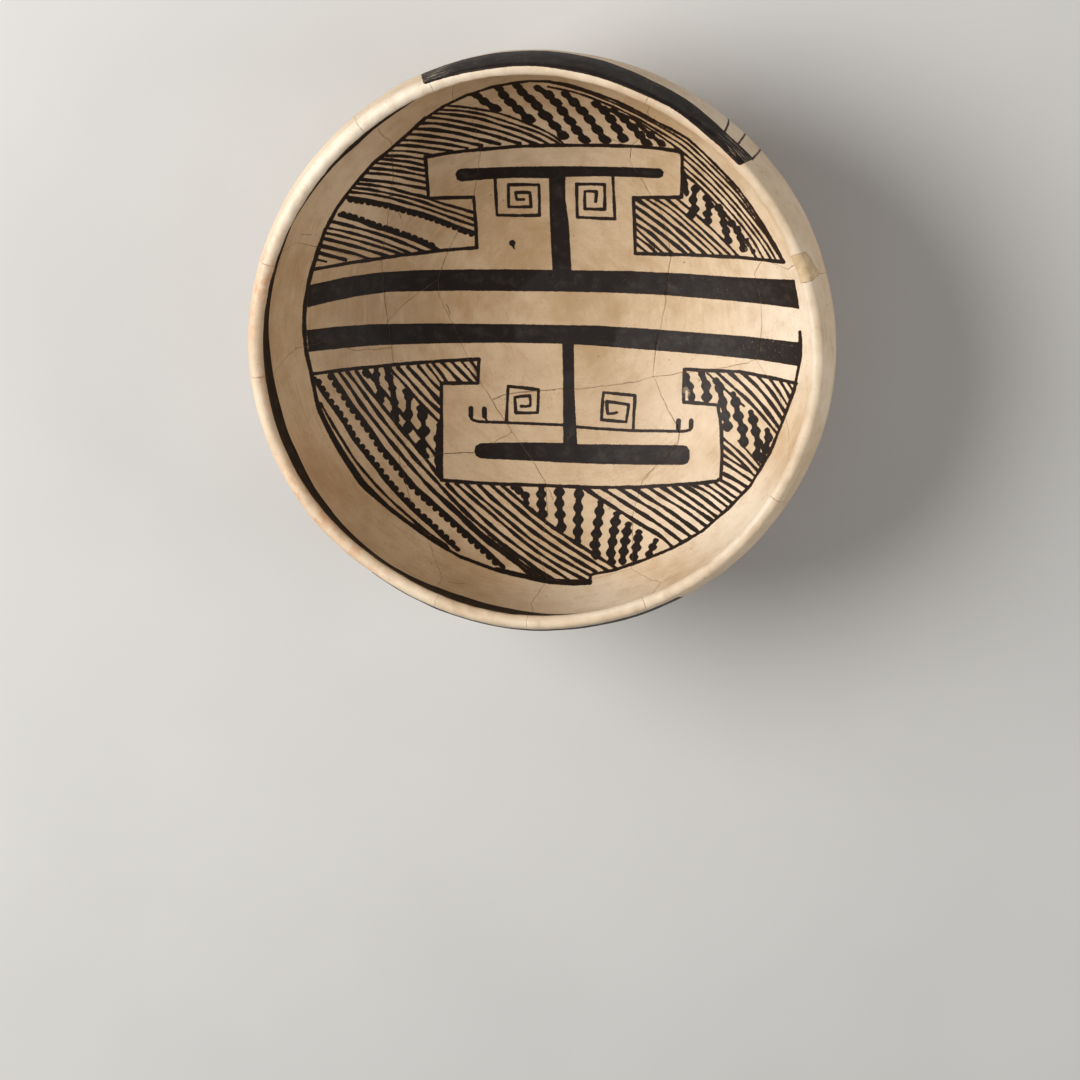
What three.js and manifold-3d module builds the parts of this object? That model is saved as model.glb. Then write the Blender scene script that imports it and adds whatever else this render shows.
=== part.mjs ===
// Hand-built pottery bowl with an incurved, slightly wavy rim, put together
// again from its sherds. Millimetres, +Z up, origin under the middle of the
// bowl on the surface it stands on.
//
// Every point of the wall has a place (s, a): s is the distance along the outer
// profile from the middle of the base, a is the angle round the bowl in degrees.
// The breaks are drawn as lines in (s, a), and each sherd is the part of the
// shell that lies inside its own outline.

import * as THREE from 'three';
import { mergeVertices } from 'three/addons/utils/BufferGeometryUtils.js';
import Module from 'manifold-3d';

const wasm = await Module();
wasm.setup();
const { Manifold, Mesh: SolidMesh } = wasm;

// ---------------------------------------------------------------- sizes (mm)

const WALL = 6.2;              // wall thickness
const FOOT_R = 24;             // radius of the worn flat underneath
const LIP_H = 2.7;             // height of the rounded lip
const OUT_OF_ROUND = 0.008;    // the bowl is longer along Y than along X
const JOINT_GAP = 0.40;        // space between two sherds
const GLUE_T = 0.16;           // thickness of the adhesive film
const GLUE_HALF_DEPTH = 2.4;   // half the film's depth through the wall
const SEGMENTS = 60;           // round the bowl
const FOOT_Z = 0;
const APEX = new THREE.Vector3(0, 0, 90);   // every break runs towards this point
const RIM_S = 200;             // sherd outlines are closed above the lip
const A_TO_PHI = 171.2;        // angle a = 0 lies at this azimuth from -Y

// outer profile above the foot, [radius, height], at even steps of s
const OUTER = [
  [24.00, 0.00], [31.87, 1.24], [39.72, 2.65], [47.54, 4.17], [55.34, 5.83],
  [63.06, 7.83], [70.57, 10.47], [77.81, 13.81], [84.82, 17.60], [91.54, 21.89],
  [97.91, 26.68], [103.90, 31.93], [109.45, 37.64], [114.17, 44.06], [118.00, 51.04],
  [120.74, 58.52], [122.61, 66.26], [123.70, 74.16], [123.84, 82.11], [122.62, 89.98],
  [120.00, 97.50],
];
const S_STEP = 7.971;
const S_LIP = FOOT_R + S_STEP * (OUTER.length - 1);

// hand-made rim: rise and swell every 15 degrees of azimuth, from -Y
const RIM_DZ = [0.2, 1.2, 2.3, 2.2, 3.1, 3.4, 2.7, 2.0, 1.6, 0.9, 0.4, 0.0,
  0.1, 0.3, 0.6, 1.1, 1.0, 0.2, -0.5, -1.0, -0.9, 0.2, 0.9, 0.9];
const RIM_DR = [0.6, 0.5, -0.1, -1.0, -0.9, -0.2, 0.1, 0.5, 1.2, 1.3, 1.2, 1.2,
  0.4, -0.8, -1.3, -1.6, -1.3, -0.2, 0.4, 0.4, -0.3, -0.7, -0.5, 0.1];

// ------------------------------------------------------------ break lines

const BREAKS = {
  west: [[RIM_S, 127], [170, 128.5], [150, 127.5], [137, 130], [122.9, 130.5], [106, 138],
    [97.5, 146.3], [89.3, 161], [84.4, 171], [82, 179.8], [81.2, 188.8], [83, 196], [92, 209],
    [104, 222], [116, 232], [127.7, 239.8], [138, 243.5], [148.6, 246.4], [165, 246],
    [178, 249], [RIM_S, 248]],
  middle: [[RIM_S, 110], [172, 111.5], [150, 109], [128, 112.5], [108, 111.5], [90.5, 113.9],
    [81.6, 118.1], [71.3, 125], [64, 138], [61.6, 150.7], [60.6, 162], [58, 170],
    [53, 178], [48.5, 193.6], [48.5, 202], [48.5, 215.4], [50.6, 227.6], [53, 235.6],
    [57.5, 244.5], [67.2, 257], [76.2, 263.3], [92, 266], [110, 264.5], [128, 268.5],
    [150, 266.5], [170, 269], [RIM_S, 268]],
  east: [[RIM_S, 64], [175, 65.5], [150, 62.5], [125, 66.5], [105, 65.5], [90.1, 67.4],
    [82.4, 66.3], [68, 47], [57.5, 31.3], [53.4, 26.3], [48.1, 15.2], [45.6, 7.1],
    [44, -1.7], [43.2, -16.7], [48, -32], [60, -39], [74.6, -42.8], [77.5, -45.6],
    [80.8, -57.3], [83.2, -62.3], [98, -69], [114, -70.5], [128.5, -71.7], [140, -68],
    [149.8, -64.9], [168, -67], [RIM_S, -66]],
  base_front: [[50.6, 227.6], [45.6, 230.3], [37.5, 243.3], [33, 262], [33, 280.5],
    [36.6, 303.8], [42, 317], [48, 328]],
  right_front: [[48, -32], [55.5, -25.6], [66, -19.5], [78.7, -14.6], [94.2, -9.5], [110, -15],
    [126, -21], [148, -27], [165, -31.5], [RIM_S, -31]],
  right_back: [[94.2, -9.5], [95.9, -1.2], [96.3, 6.5], [95.9, 15.5], [103, 18.5], [118, 15],
    [135, 17], [155, 13.5], [176, 15], [RIM_S, 13.6]],
  left_back: [[89.3, 161], [100, 161.5], [116, 161], [133, 160.5], [144, 160], [151, 161],
    [164, 163], [176, 162.8], [RIM_S, 162.8]],
  left: [[81.2, 188.8], [98, 187.5], [115, 184], [133, 184.1], [139.3, 185], [158, 188],
    [175, 186], [RIM_S, 187]],
  inner_left: [[104, 222], [94, 224.5], [84.8, 227.3], [75.4, 235.2], [66, 240], [57.5, 244.5]],
  base_back: [[90.5, 113.9], [93, 104], [91, 92], [94, 80], [90.1, 67.4]],
  right_upper: [[103, 18.5], [101, 28], [104, 40], [100, 52], [105, 65.5]],
  front_lower: [[128, 268.5], [131, 273], [129, 280], [128.5, 288.3]],
  small_upper: [[60.6, 162], [68, 169.2], [75, 174.5], [82, 179.8]],
};

// Each sherd: the breaks round it in order, [name, from s/a, to s/a].
// 'rim' closes an outline above the lip.
const SHERDS = {
  base_sherd: [['middle', 90.5, 113.9, 50.6, 227.6], ['base_front'], ['east', 48, -32, 90.1, 67.4],
    ['base_back', 90.1, 67.4, 90.5, 113.9]],
  back_rim_sherd: [['middle', RIM_S, 110, 90.5, 113.9], ['base_back'], ['east', 90.1, 67.4, RIM_S, 64],
    ['rim', 64, 110]],
  back_left_sherd: [['west', RIM_S, 127, 82, 179.8], ['small_upper', 82, 179.8, 60.6, 162],
    ['middle', 60.6, 162, RIM_S, 110], ['rim', 110, 127]],
  left_rear_rim_sherd: [['west', 89.3, 161, RIM_S, 127], ['rim', 127, 162.8],
    ['left_back', RIM_S, 162.8, 89.3, 161]],
  left_rim_sherd: [['left_back'], ['rim', 162.8, 187], ['left', RIM_S, 187, 81.2, 188.8],
    ['west', 81.2, 188.8, 89.3, 161]],
  front_left_rim_sherd: [['left'], ['rim', 187, 248], ['west', RIM_S, 248, 81.2, 188.8]],
  inner_left_sherd: [['west', 82, 179.8, 104, 222], ['inner_left'], ['middle', 57.5, 244.5, 60.6, 162],
    ['small_upper', 60.6, 162, 82, 179.8]],
  front_sherd: [['west', 104, 222, RIM_S, 248], ['rim', 248, 268], ['middle', RIM_S, 268, 57.5, 244.5],
    ['inner_left', 57.5, 244.5, 104, 222]],
  inner_front_sherd: [['middle', 50.6, 227.6, 128, 268.5], ['front_lower'],
    ['east', 128.5, -71.7, 48, -32], ['base_front', 48, 328, 50.6, 227.6]],
  front_rim_sherd: [['middle', 128, 268.5, RIM_S, 268], ['rim', 268, 294],
    ['east', RIM_S, -66, 128.5, -71.7], ['front_lower', 128.5, 288.3, 128, 268.5]],
  front_right_sherd: [['east', 48, -32, RIM_S, -66], ['rim', -66, -31],
    ['right_front', RIM_S, -31, 48, -32]],
  right_rim_sherd: [['right_front', 94.2, -9.5, RIM_S, -31], ['rim', -31, 13.6],
    ['right_back', RIM_S, 13.6, 94.2, -9.5]],
  inner_right_sherd: [['east', 105, 65.5, 48, -32], ['right_front', 48, -32, 94.2, -9.5],
    ['right_back', 94.2, -9.5, 103, 18.5], ['right_upper']],
  back_right_rim_sherd: [['right_back', 103, 18.5, 176, 15], ['fill', 176, 15, RIM_S, 21],
    ['rim', 21, 64], ['east', RIM_S, 64, 105, 65.5], ['right_upper', 105, 65.5, 103, 18.5]],
  rim_fill: [['right_back', 176, 15, RIM_S, 13.6], ['rim', 13.6, 21], ['fill', RIM_S, 21, 176, 15]],
};
BREAKS.fill = [[176, 15], [178.5, 17.5], [181, 20], [RIM_S, 21]];
const FILM_TOP_S = 180;        // films end just under the lip

// Adhesive films: pull back at each end (mm) where a line stops at another.
const FILMS = {
  adhesive_west: ['west', 0, 0],
  adhesive_middle: ['middle', 0, 0],
  adhesive_east: ['east', 0, 0],
  adhesive_base_front: ['base_front', 0.7, 0.7],
  adhesive_right_front: ['right_front', 0.7, 0],
  adhesive_right_back: ['right_back', 0.7, 0],
  adhesive_left_back: ['left_back', 0.7, 0],
  adhesive_left: ['left', 0.7, 0],
  adhesive_inner_left: ['inner_left', 0.7, 0.7],
  adhesive_base_back: ['base_back', 0.7, 0.7],
  adhesive_right_upper: ['right_upper', 0.7, 0.7],
  adhesive_front_lower: ['front_lower', 0.7, 0.7],
  adhesive_small_upper: ['small_upper', 0.7, 0.7],
};

// ------------------------------------------------------------ the wall surface

const rad = THREE.MathUtils.degToRad;

function periodic(table, phi) {
  const n = table.length;
  const x = ((phi / (2 * Math.PI)) * n % n + n) % n;
  const i = Math.floor(x);
  const t = x - i;
  const [p0, p1, p2, p3] = [-1, 0, 1, 2].map((k) => table[(i + k + n) % n]);
  return p1 + 0.5 * t * (p2 - p0 + t * (2 * p0 - 5 * p1 + 4 * p2 - p3 + t * (3 * (p1 - p2) + p3 - p0)));
}

function rimBlend(s) {
  const t = THREE.MathUtils.clamp((s - 140) / (S_LIP - 140), 0, 1);
  return t * t * (3 - 2 * t);
}

// nominal outer radius and height at s, and the outward normal there
function outerAt(s) {
  if (s <= FOOT_R) return { r: s, z: FOOT_Z, nr: 0, nz: -1 };
  const x = (s - FOOT_R) / S_STEP;
  const i = Math.min(Math.floor(x), OUTER.length - 2);
  const t = x - i;
  const r = OUTER[i][0] + t * (OUTER[i + 1][0] - OUTER[i][0]);
  const z = OUTER[i][1] + t * (OUTER[i + 1][1] - OUTER[i][1]);
  const at = (k) => OUTER[Math.min(Math.max(k, 0), OUTER.length - 1)];
  const slope = (k) => [at(k + 1)[0] - at(k - 1)[0], at(k + 1)[1] - at(k - 1)[1]];
  const [d0, d1] = [slope(i), slope(i + 1)];
  const dr = d0[0] + t * (d1[0] - d0[0]);
  const dz = d0[1] + t * (d1[1] - d0[1]);
  const l = Math.hypot(dr, dz);
  return { r, z, nr: dz / l, nz: -dr / l };
}

// hand-made irregularity of a nominal point
function shaped(r, z, s, phi, target = new THREE.Vector3()) {
  const b = rimBlend(s);
  const R = r * (1 + OUT_OF_ROUND * Math.cos(2 * phi)) + b * periodic(RIM_DR, phi);
  const Z = z + b * periodic(RIM_DZ, phi);
  return target.set(R * Math.sin(phi), -R * Math.cos(phi), Z);
}

// middle of the wall at (s, a)
function middleOfWall(s, a) {
  const o = outerAt(s);
  return shaped(o.r - 0.5 * WALL * o.nr, o.z - 0.5 * WALL * o.nz, s, rad(a + A_TO_PHI));
}

// ------------------------------------------------------------ solids

function toSolid(geometry) {
  const g = geometry.clone();
  g.deleteAttribute('normal');
  g.deleteAttribute('uv');
  const m = mergeVertices(g, 1e-4);
  const idx = [];
  for (let i = 0; i < m.index.count; i += 3) {
    const t = [m.index.getX(i), m.index.getX(i + 1), m.index.getX(i + 2)];
    if (t[0] !== t[1] && t[1] !== t[2] && t[2] !== t[0]) idx.push(...t);
  }
  const build = (tri) => new Manifold(new SolidMesh({
    numProp: 3,
    vertProperties: Float32Array.from(m.attributes.position.array),
    triVerts: Uint32Array.from(tri),
  }));
  const solid = build(idx);
  if (solid.volume() > 0) return solid;
  const flipped = [];
  for (let i = 0; i < idx.length; i += 3) flipped.push(idx[i], idx[i + 2], idx[i + 1]);
  return build(flipped);
}

function toGeometry(solid) {
  const m = solid.getMesh();
  const g = new THREE.BufferGeometry();
  const pos = new Float32Array((m.vertProperties.length / m.numProp) * 3);
  for (let i = 0; i < pos.length / 3; i++) {
    for (let k = 0; k < 3; k++) pos[3 * i + k] = m.vertProperties[i * m.numProp + k];
  }
  g.setAttribute('position', new THREE.BufferAttribute(pos, 3));
  g.setIndex(Array.from(m.triVerts));
  g.computeVertexNormals();
  return g;
}

// The whole wall as one lathe turned about +Z, then shaped by hand.
function bowlShell() {
  const profile = [];          // [r, z, s] from the middle underneath, over the lip, to the middle inside
  profile.push([0, FOOT_Z, 0], [12, FOOT_Z, 12]);
  for (let i = 0; i < OUTER.length; i++) profile.push([OUTER[i][0], OUTER[i][1], FOOT_R + i * S_STEP]);
  const inner = profile.map(([, , s]) => {
    const o = outerAt(s);
    return [o.r - WALL * o.nr, o.z - WALL * o.nz, s];
  });
  const end = outerAt(S_LIP);
  const mid = [end.r - 0.5 * WALL * end.nr, end.z - 0.5 * WALL * end.nz];
  for (const deg of [25, 55, 90, 125, 155]) {
    const c = Math.cos(rad(deg)) * 0.5 * WALL;
    const h = Math.sin(rad(deg)) * LIP_H;
    profile.push([mid[0] + c * end.nr - 0.25 * h, mid[1] + c * end.nz + h, S_LIP]);
  }
  for (let i = inner.length - 1; i >= 0; i--) profile.push(inner[i]);
  profile[profile.length - 1][0] = 0;
  const points = profile.map(([r, z]) => new THREE.Vector2(Math.max(r, 0), z));
  const lathe = new THREE.LatheGeometry(points, SEGMENTS);
  const pos = lathe.attributes.position;
  const v = new THREE.Vector3();
  for (let i = 0; i < pos.count; i++) {
    const [r, z, s] = profile[i % profile.length];
    const phi = (Math.floor(i / profile.length) % SEGMENTS) * (2 * Math.PI / SEGMENTS);
    shaped(Math.max(r, 0), z, s, phi, v);
    pos.setXYZ(i, v.x, v.y, v.z);
  }
  return toSolid(lathe);
}

// chart: (s, a) laid out flat round the middle of the base
const chart = ([s, a]) => new THREE.Vector2(s * Math.cos(rad(a)), s * Math.sin(rad(a)));

const same = (p, s, a) => Math.abs(p[0] - s) < 1e-6 && Math.abs(((p[1] - a) % 360 + 540) % 360 - 180) < 1e-6;

// every line that runs to the rim gets a point where its film ends
for (const line of Object.values(BREAKS)) {
  for (const [i, j] of [[0, 1], [line.length - 1, line.length - 2]]) {
    if (line[i][0] !== RIM_S || line[j][0] >= FILM_TOP_S) continue;
    const p = chart(line[j]);
    const q = chart(line[i]);
    let [t0, t1] = [0, 1];
    for (let k = 0; k < 40; k++) {
      const t = 0.5 * (t0 + t1);
      if (p.clone().lerp(q, t).length() < FILM_TOP_S) t0 = t; else t1 = t;
    }
    const m = p.clone().lerp(q, t0);
    line.splice(i === 0 ? 1 : i, 0, [m.length(), THREE.MathUtils.radToDeg(Math.atan2(m.y, m.x))]);
  }
}

// points of one break from one named point to another, in either direction
function breakPart(name, s0, a0, s1, a1) {
  const line = BREAKS[name];
  if (s0 === undefined) return line;
  const i = line.findIndex((p) => same(p, s0, a0));
  const j = line.findIndex((p) => same(p, s1, a1));
  if (i < 0 || j < 0) throw new Error(`no such point on ${name}`);
  return i < j ? line.slice(i, j + 1) : line.slice(j, i + 1).reverse();
}

function outline(pieces) {
  const pts = [];
  for (const piece of pieces) {
    let part;
    if (piece[0] === 'rim') {
      const [, a0, a1] = piece;
      const rim = [];
      const n = Math.ceil((a1 - a0) / 8);
      for (let k = 0; k <= n; k++) rim.push([RIM_S, a0 + (k * (a1 - a0)) / n]);
      const last = pts[pts.length - 1];
      part = last && same(last, RIM_S, a1) ? rim.reverse() : rim;
    } else part = breakPart(...piece);
    for (const p of part) {
      const last = pts[pts.length - 1];
      if (!last || !same(last, p[0], p[1])) pts.push(p);
    }
  }
  if (same(pts[0], ...pts[pts.length - 1])) pts.pop();
  return pts;
}

// Move chart point b sideways by d mm measured on the real wall, with the
// previous point a and the next point c giving the two directions.
function inset(a, b, c, d) {
  const s = b.length();
  const u = b.clone().divideScalar(s);
  const w = new THREE.Vector2(-u.y, u.x);
  const o = outerAt(Math.min(s, S_LIP));
  const k = Math.max(o.r - 0.5 * WALL * o.nr, 1) / Math.min(s, S_LIP);
  const local = (p, q) => {
    const e = q.clone().sub(p);
    return new THREE.Vector2(e.dot(u), e.dot(w) * k).normalize();
  };
  const side = (e) => new THREE.Vector2(-e.y, e.x);
  const n1 = a ? side(local(a, b)) : null;
  const n2 = c ? side(local(b, c)) : null;
  const n = n1 && n2 ? n1.clone().add(n2).normalize() : (n1 || n2).clone();
  const m = Math.min(1 / Math.max(n.dot(n1 || n2), 0.35), 2.2) * d;
  return b.clone().addScaledVector(u, n.x * m).addScaledVector(w, (n.y * m) / k);
}

function wallPoint(p) {
  const s = p.length();
  return middleOfWall(s, THREE.MathUtils.radToDeg(Math.atan2(p.y, p.x)));
}

// A wedge running from near the middle of the bowl out through the wall.
function wedge(points, gap) {
  let flat = points.map(chart);
  if (THREE.ShapeUtils.area(flat) < 0) flat = flat.reverse();
  const n = flat.length;
  const moved = flat.map((p, i) => inset(flat[(i + n - 1) % n], p, flat[(i + 1) % n], gap));
  const geometry = new THREE.ExtrudeGeometry(new THREE.Shape(moved), { depth: 1, steps: 1, bevelEnabled: false });
  const pos = geometry.attributes.position;
  for (let i = 0; i < pos.count; i++) {
    const q = wallPoint(new THREE.Vector2(pos.getX(i), pos.getY(i)));
    const k = pos.getZ(i) < 0.5 ? 0.4 : 1.6;
    q.sub(APEX).multiplyScalar(k).add(APEX);
    pos.setXYZ(i, q.x, q.y, q.z);
  }
  return toSolid(geometry);
}

// A thin strip of adhesive standing in the gap along a break.
function film(name, pull0, pull1) {
  let line = BREAKS[name];
  if (line[0][0] === RIM_S) line = line.slice(1);
  if (line[line.length - 1][0] === RIM_S) line = line.slice(0, -1);
  line = line.map(chart);
  const n = line.length;
  const pull = (p, q, d) => p.clone().lerp(q, d / p.distanceTo(q));
  if (pull0) line[0] = pull(line[0], line[1], pull0);
  if (pull1) line[n - 1] = pull(line[n - 1], line[n - 2], pull1);
  const strip = new THREE.ExtrudeGeometry(
    new THREE.Shape([
      ...line.map((p, i) => inset(line[i - 1], p, line[i + 1], -GLUE_T / 2)),
      ...line.map((p, i) => inset(line[i - 1], p, line[i + 1], GLUE_T / 2)).reverse(),
    ]),
    { depth: 1, steps: 1, bevelEnabled: false },
  );
  const pos = strip.attributes.position;
  for (let i = 0; i < pos.count; i++) {
    const q = wallPoint(new THREE.Vector2(pos.getX(i), pos.getY(i)));
    const out = q.clone().sub(APEX).normalize();
    q.addScaledVector(out, pos.getZ(i) < 0.5 ? -GLUE_HALF_DEPTH : GLUE_HALF_DEPTH);
    pos.setXYZ(i, q.x, q.y, q.z);
  }
  return toSolid(strip);
}

// ------------------------------------------------------------ assembly

const clay = (color) => new THREE.MeshStandardMaterial({ color, roughness: 0.62, metalness: 0 });
const CLAY = [0xd9bd93, 0xdcc29b, 0xd6b88c, 0xdabf96];
const plaster = new THREE.MeshStandardMaterial({ color: 0xe2d3b6, roughness: 0.9, metalness: 0 });
const glue = new THREE.MeshStandardMaterial({ color: 0x8a6a42, roughness: 0.45, metalness: 0 });

const shell = bowlShell();
const solids = [];
let shade = 0;
for (const [name, pieces] of Object.entries(SHERDS)) {
  const solid = Manifold.intersection(shell, wedge(outline(pieces), JOINT_GAP / 2));
  solids.push([name, solid, name === 'rim_fill' ? plaster : clay(CLAY[shade++ % CLAY.length])]);
}
for (const [name, [line, p0, p1]] of Object.entries(FILMS)) solids.push([name, film(line, p0, p1), glue]);

// centre the whole bowl on its bounding box
const whole = new THREE.Box3();
const geometries = solids.map(([name, solid, material]) => {
  const geometry = toGeometry(solid);
  geometry.computeBoundingBox();
  whole.union(geometry.boundingBox);
  return [name, geometry, material];
});
const shift = new THREE.Vector3(-(whole.min.x + whole.max.x) / 2, -(whole.min.y + whole.max.y) / 2, -whole.min.z);

const bowl = new THREE.Group();
bowl.name = 'painted_bowl';
for (const [name, geometry, material] of geometries) {
  const centre = geometry.boundingBox.getCenter(new THREE.Vector3());
  geometry.translate(-centre.x, -centre.y, -centre.z);
  const mesh = new THREE.Mesh(geometry, material);
  mesh.name = name;
  mesh.position.copy(centre).add(shift);
  bowl.add(mesh);
}

export default bowl;
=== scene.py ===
import math

import bpy
import numpy as np
from mathutils import Matrix, Vector
from mathutils.geometry import delaunay_2d_cdt


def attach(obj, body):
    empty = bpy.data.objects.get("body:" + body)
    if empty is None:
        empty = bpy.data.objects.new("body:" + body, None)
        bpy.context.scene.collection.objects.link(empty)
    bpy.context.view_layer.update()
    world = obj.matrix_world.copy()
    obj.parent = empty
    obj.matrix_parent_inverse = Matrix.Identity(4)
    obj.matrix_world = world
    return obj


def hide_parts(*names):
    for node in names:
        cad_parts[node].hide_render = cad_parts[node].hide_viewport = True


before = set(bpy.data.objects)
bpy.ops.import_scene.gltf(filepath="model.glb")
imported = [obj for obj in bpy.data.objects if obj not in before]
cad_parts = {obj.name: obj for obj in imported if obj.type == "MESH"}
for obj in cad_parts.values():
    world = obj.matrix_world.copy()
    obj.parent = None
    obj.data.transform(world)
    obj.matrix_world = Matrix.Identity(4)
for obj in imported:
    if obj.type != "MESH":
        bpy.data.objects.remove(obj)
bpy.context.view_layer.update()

MM = 0.001
TAU = 2 * math.pi

# ======================================================================
# The wall: the same numbers as the construction, in millimetres
# ======================================================================

WALL, FOOT_R, LIP_H, LIP_HALF = 6.2, 24.0, 2.7, 3.1
OUT_OF_ROUND, A_TO_PHI, RIM_S, S_STEP = 0.008, 171.2, 200.0, 7.971
OUTER = [
    (24.00, 0.00), (31.87, 1.24), (39.72, 2.65), (47.54, 4.17), (55.34, 5.83),
    (63.06, 7.83), (70.57, 10.47), (77.81, 13.81), (84.82, 17.60), (91.54, 21.89),
    (97.91, 26.68), (103.90, 31.93), (109.45, 37.64), (114.17, 44.06), (118.00, 51.04),
    (120.74, 58.52), (122.61, 66.26), (123.70, 74.16), (123.84, 82.11), (122.62, 89.98),
    (120.00, 97.50)]
S_LIP = FOOT_R + S_STEP * (len(OUTER) - 1)
S_TOP = S_LIP + 4.55           # the crest of the lip
RIM_DZ = [0.2, 1.2, 2.3, 2.2, 3.1, 3.4, 2.7, 2.0, 1.6, 0.9, 0.4, 0.0,
          0.1, 0.3, 0.6, 1.1, 1.0, 0.2, -0.5, -1.0, -0.9, 0.2, 0.9, 0.9]
RIM_DR = [0.6, 0.5, -0.1, -1.0, -0.9, -0.2, 0.1, 0.5, 1.2, 1.3, 1.2, 1.2,
          0.4, -0.8, -1.3, -1.6, -1.3, -0.2, 0.4, 0.4, -0.3, -0.7, -0.5, 0.1]

# break lines as (distance from the middle of the base, angle round the bowl)
BREAKS = {
    "west": [(RIM_S, 127), (170, 128.5), (150, 127.5), (137, 130), (122.9, 130.5), (106, 138),
             (97.5, 146.3), (89.3, 161), (84.4, 171), (82, 179.8), (81.2, 188.8), (83, 196), (92, 209),
             (104, 222), (116, 232), (127.7, 239.8), (138, 243.5), (148.6, 246.4), (165, 246),
             (178, 249), (RIM_S, 248)],
    "middle": [(RIM_S, 110), (172, 111.5), (150, 109), (128, 112.5), (108, 111.5), (90.5, 113.9),
               (81.6, 118.1), (71.3, 125), (64, 138), (61.6, 150.7), (60.6, 162), (58, 170),
               (53, 178), (48.5, 193.6), (48.5, 202), (48.5, 215.4), (50.6, 227.6), (53, 235.6),
               (57.5, 244.5), (67.2, 257), (76.2, 263.3), (92, 266), (110, 264.5), (128, 268.5),
               (150, 266.5), (170, 269), (RIM_S, 268)],
    "east": [(RIM_S, 64), (175, 65.5), (150, 62.5), (125, 66.5), (105, 65.5), (90.1, 67.4),
             (82.4, 66.3), (68, 47), (57.5, 31.3), (53.4, 26.3), (48.1, 15.2), (45.6, 7.1),
             (44, -1.7), (43.2, -16.7), (48, -32), (60, -39), (74.6, -42.8), (77.5, -45.6),
             (80.8, -57.3), (83.2, -62.3), (98, -69), (114, -70.5), (128.5, -71.7), (140, -68),
             (149.8, -64.9), (168, -67), (RIM_S, -66)],
    "base_front": [(50.6, 227.6), (45.6, 230.3), (37.5, 243.3), (33, 262), (33, 280.5),
                   (36.6, 303.8), (42, 317), (48, 328)],
    "right_front": [(48, -32), (55.5, -25.6), (66, -19.5), (78.7, -14.6), (94.2, -9.5), (110, -15),
                    (126, -21), (148, -27), (165, -31.5), (RIM_S, -31)],
    "right_back": [(94.2, -9.5), (95.9, -1.2), (96.3, 6.5), (95.9, 15.5), (103, 18.5), (118, 15),
                   (135, 17), (155, 13.5), (176, 15), (RIM_S, 13.6)],
    "left_back": [(89.3, 161), (100, 161.5), (116, 161), (133, 160.5), (144, 160), (151, 161),
                  (164, 163), (176, 162.8), (RIM_S, 162.8)],
    "left": [(81.2, 188.8), (98, 187.5), (115, 184), (133, 184.1), (139.3, 185), (158, 188),
             (175, 186), (RIM_S, 187)],
    "inner_left": [(104, 222), (94, 224.5), (84.8, 227.3), (75.4, 235.2), (66, 240), (57.5, 244.5)],
    "base_back": [(90.5, 113.9), (93, 104), (91, 92), (94, 80), (90.1, 67.4)],
    "right_upper": [(103, 18.5), (101, 28), (104, 40), (100, 52), (105, 65.5)],
    "front_lower": [(128, 268.5), (131, 273), (129, 280), (128.5, 288.3)],
    "small_upper": [(60.6, 162), (68, 169.2), (75, 174.5), (82, 179.8)],
    "fill": [(176, 15), (178.5, 17.5), (181, 20), (RIM_S, 21)],
}

# each sherd: the breaks round it in order, with the named points between which they run
SHERDS = {
    "base_sherd": [("middle", 90.5, 113.9, 50.6, 227.6), ("base_front",), ("east", 48, -32, 90.1, 67.4),
                   ("base_back", 90.1, 67.4, 90.5, 113.9)],
    "back_rim_sherd": [("middle", RIM_S, 110, 90.5, 113.9), ("base_back",), ("east", 90.1, 67.4, RIM_S, 64),
                       ("rim",)],
    "back_left_sherd": [("west", RIM_S, 127, 82, 179.8), ("small_upper", 82, 179.8, 60.6, 162),
                        ("middle", 60.6, 162, RIM_S, 110), ("rim",)],
    "left_rear_rim_sherd": [("west", 89.3, 161, RIM_S, 127), ("rim",), ("left_back", RIM_S, 162.8, 89.3, 161)],
    "left_rim_sherd": [("left_back",), ("rim",), ("left", RIM_S, 187, 81.2, 188.8),
                       ("west", 81.2, 188.8, 89.3, 161)],
    "front_left_rim_sherd": [("left",), ("rim",), ("west", RIM_S, 248, 81.2, 188.8)],
    "inner_left_sherd": [("west", 82, 179.8, 104, 222), ("inner_left",), ("middle", 57.5, 244.5, 60.6, 162),
                         ("small_upper", 60.6, 162, 82, 179.8)],
    "front_sherd": [("west", 104, 222, RIM_S, 248), ("rim",), ("middle", RIM_S, 268, 57.5, 244.5),
                    ("inner_left", 57.5, 244.5, 104, 222)],
    "inner_front_sherd": [("middle", 50.6, 227.6, 128, 268.5), ("front_lower",),
                          ("east", 128.5, -71.7, 48, -32), ("base_front", 48, 328, 50.6, 227.6)],
    "front_rim_sherd": [("middle", 128, 268.5, RIM_S, 268), ("rim",), ("east", RIM_S, -66, 128.5, -71.7),
                        ("front_lower", 128.5, 288.3, 128, 268.5)],
    "front_right_sherd": [("east", 48, -32, RIM_S, -66), ("rim",), ("right_front", RIM_S, -31, 48, -32)],
    "right_rim_sherd": [("right_front", 94.2, -9.5, RIM_S, -31), ("rim",),
                        ("right_back", RIM_S, 13.6, 94.2, -9.5)],
    "inner_right_sherd": [("east", 105, 65.5, 48, -32), ("right_front", 48, -32, 94.2, -9.5),
                          ("right_back", 94.2, -9.5, 103, 18.5), ("right_upper",)],
    "back_right_rim_sherd": [("right_back", 103, 18.5, 176, 15), ("fill", 176, 15, RIM_S, 21), ("rim",),
                             ("east", RIM_S, 64, 105, 65.5), ("right_upper", 105, 65.5, 103, 18.5)],
    "rim_fill": [("right_back", 176, 15, RIM_S, 13.6), ("rim",), ("fill", RIM_S, 21, 176, 15)],
}
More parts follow.
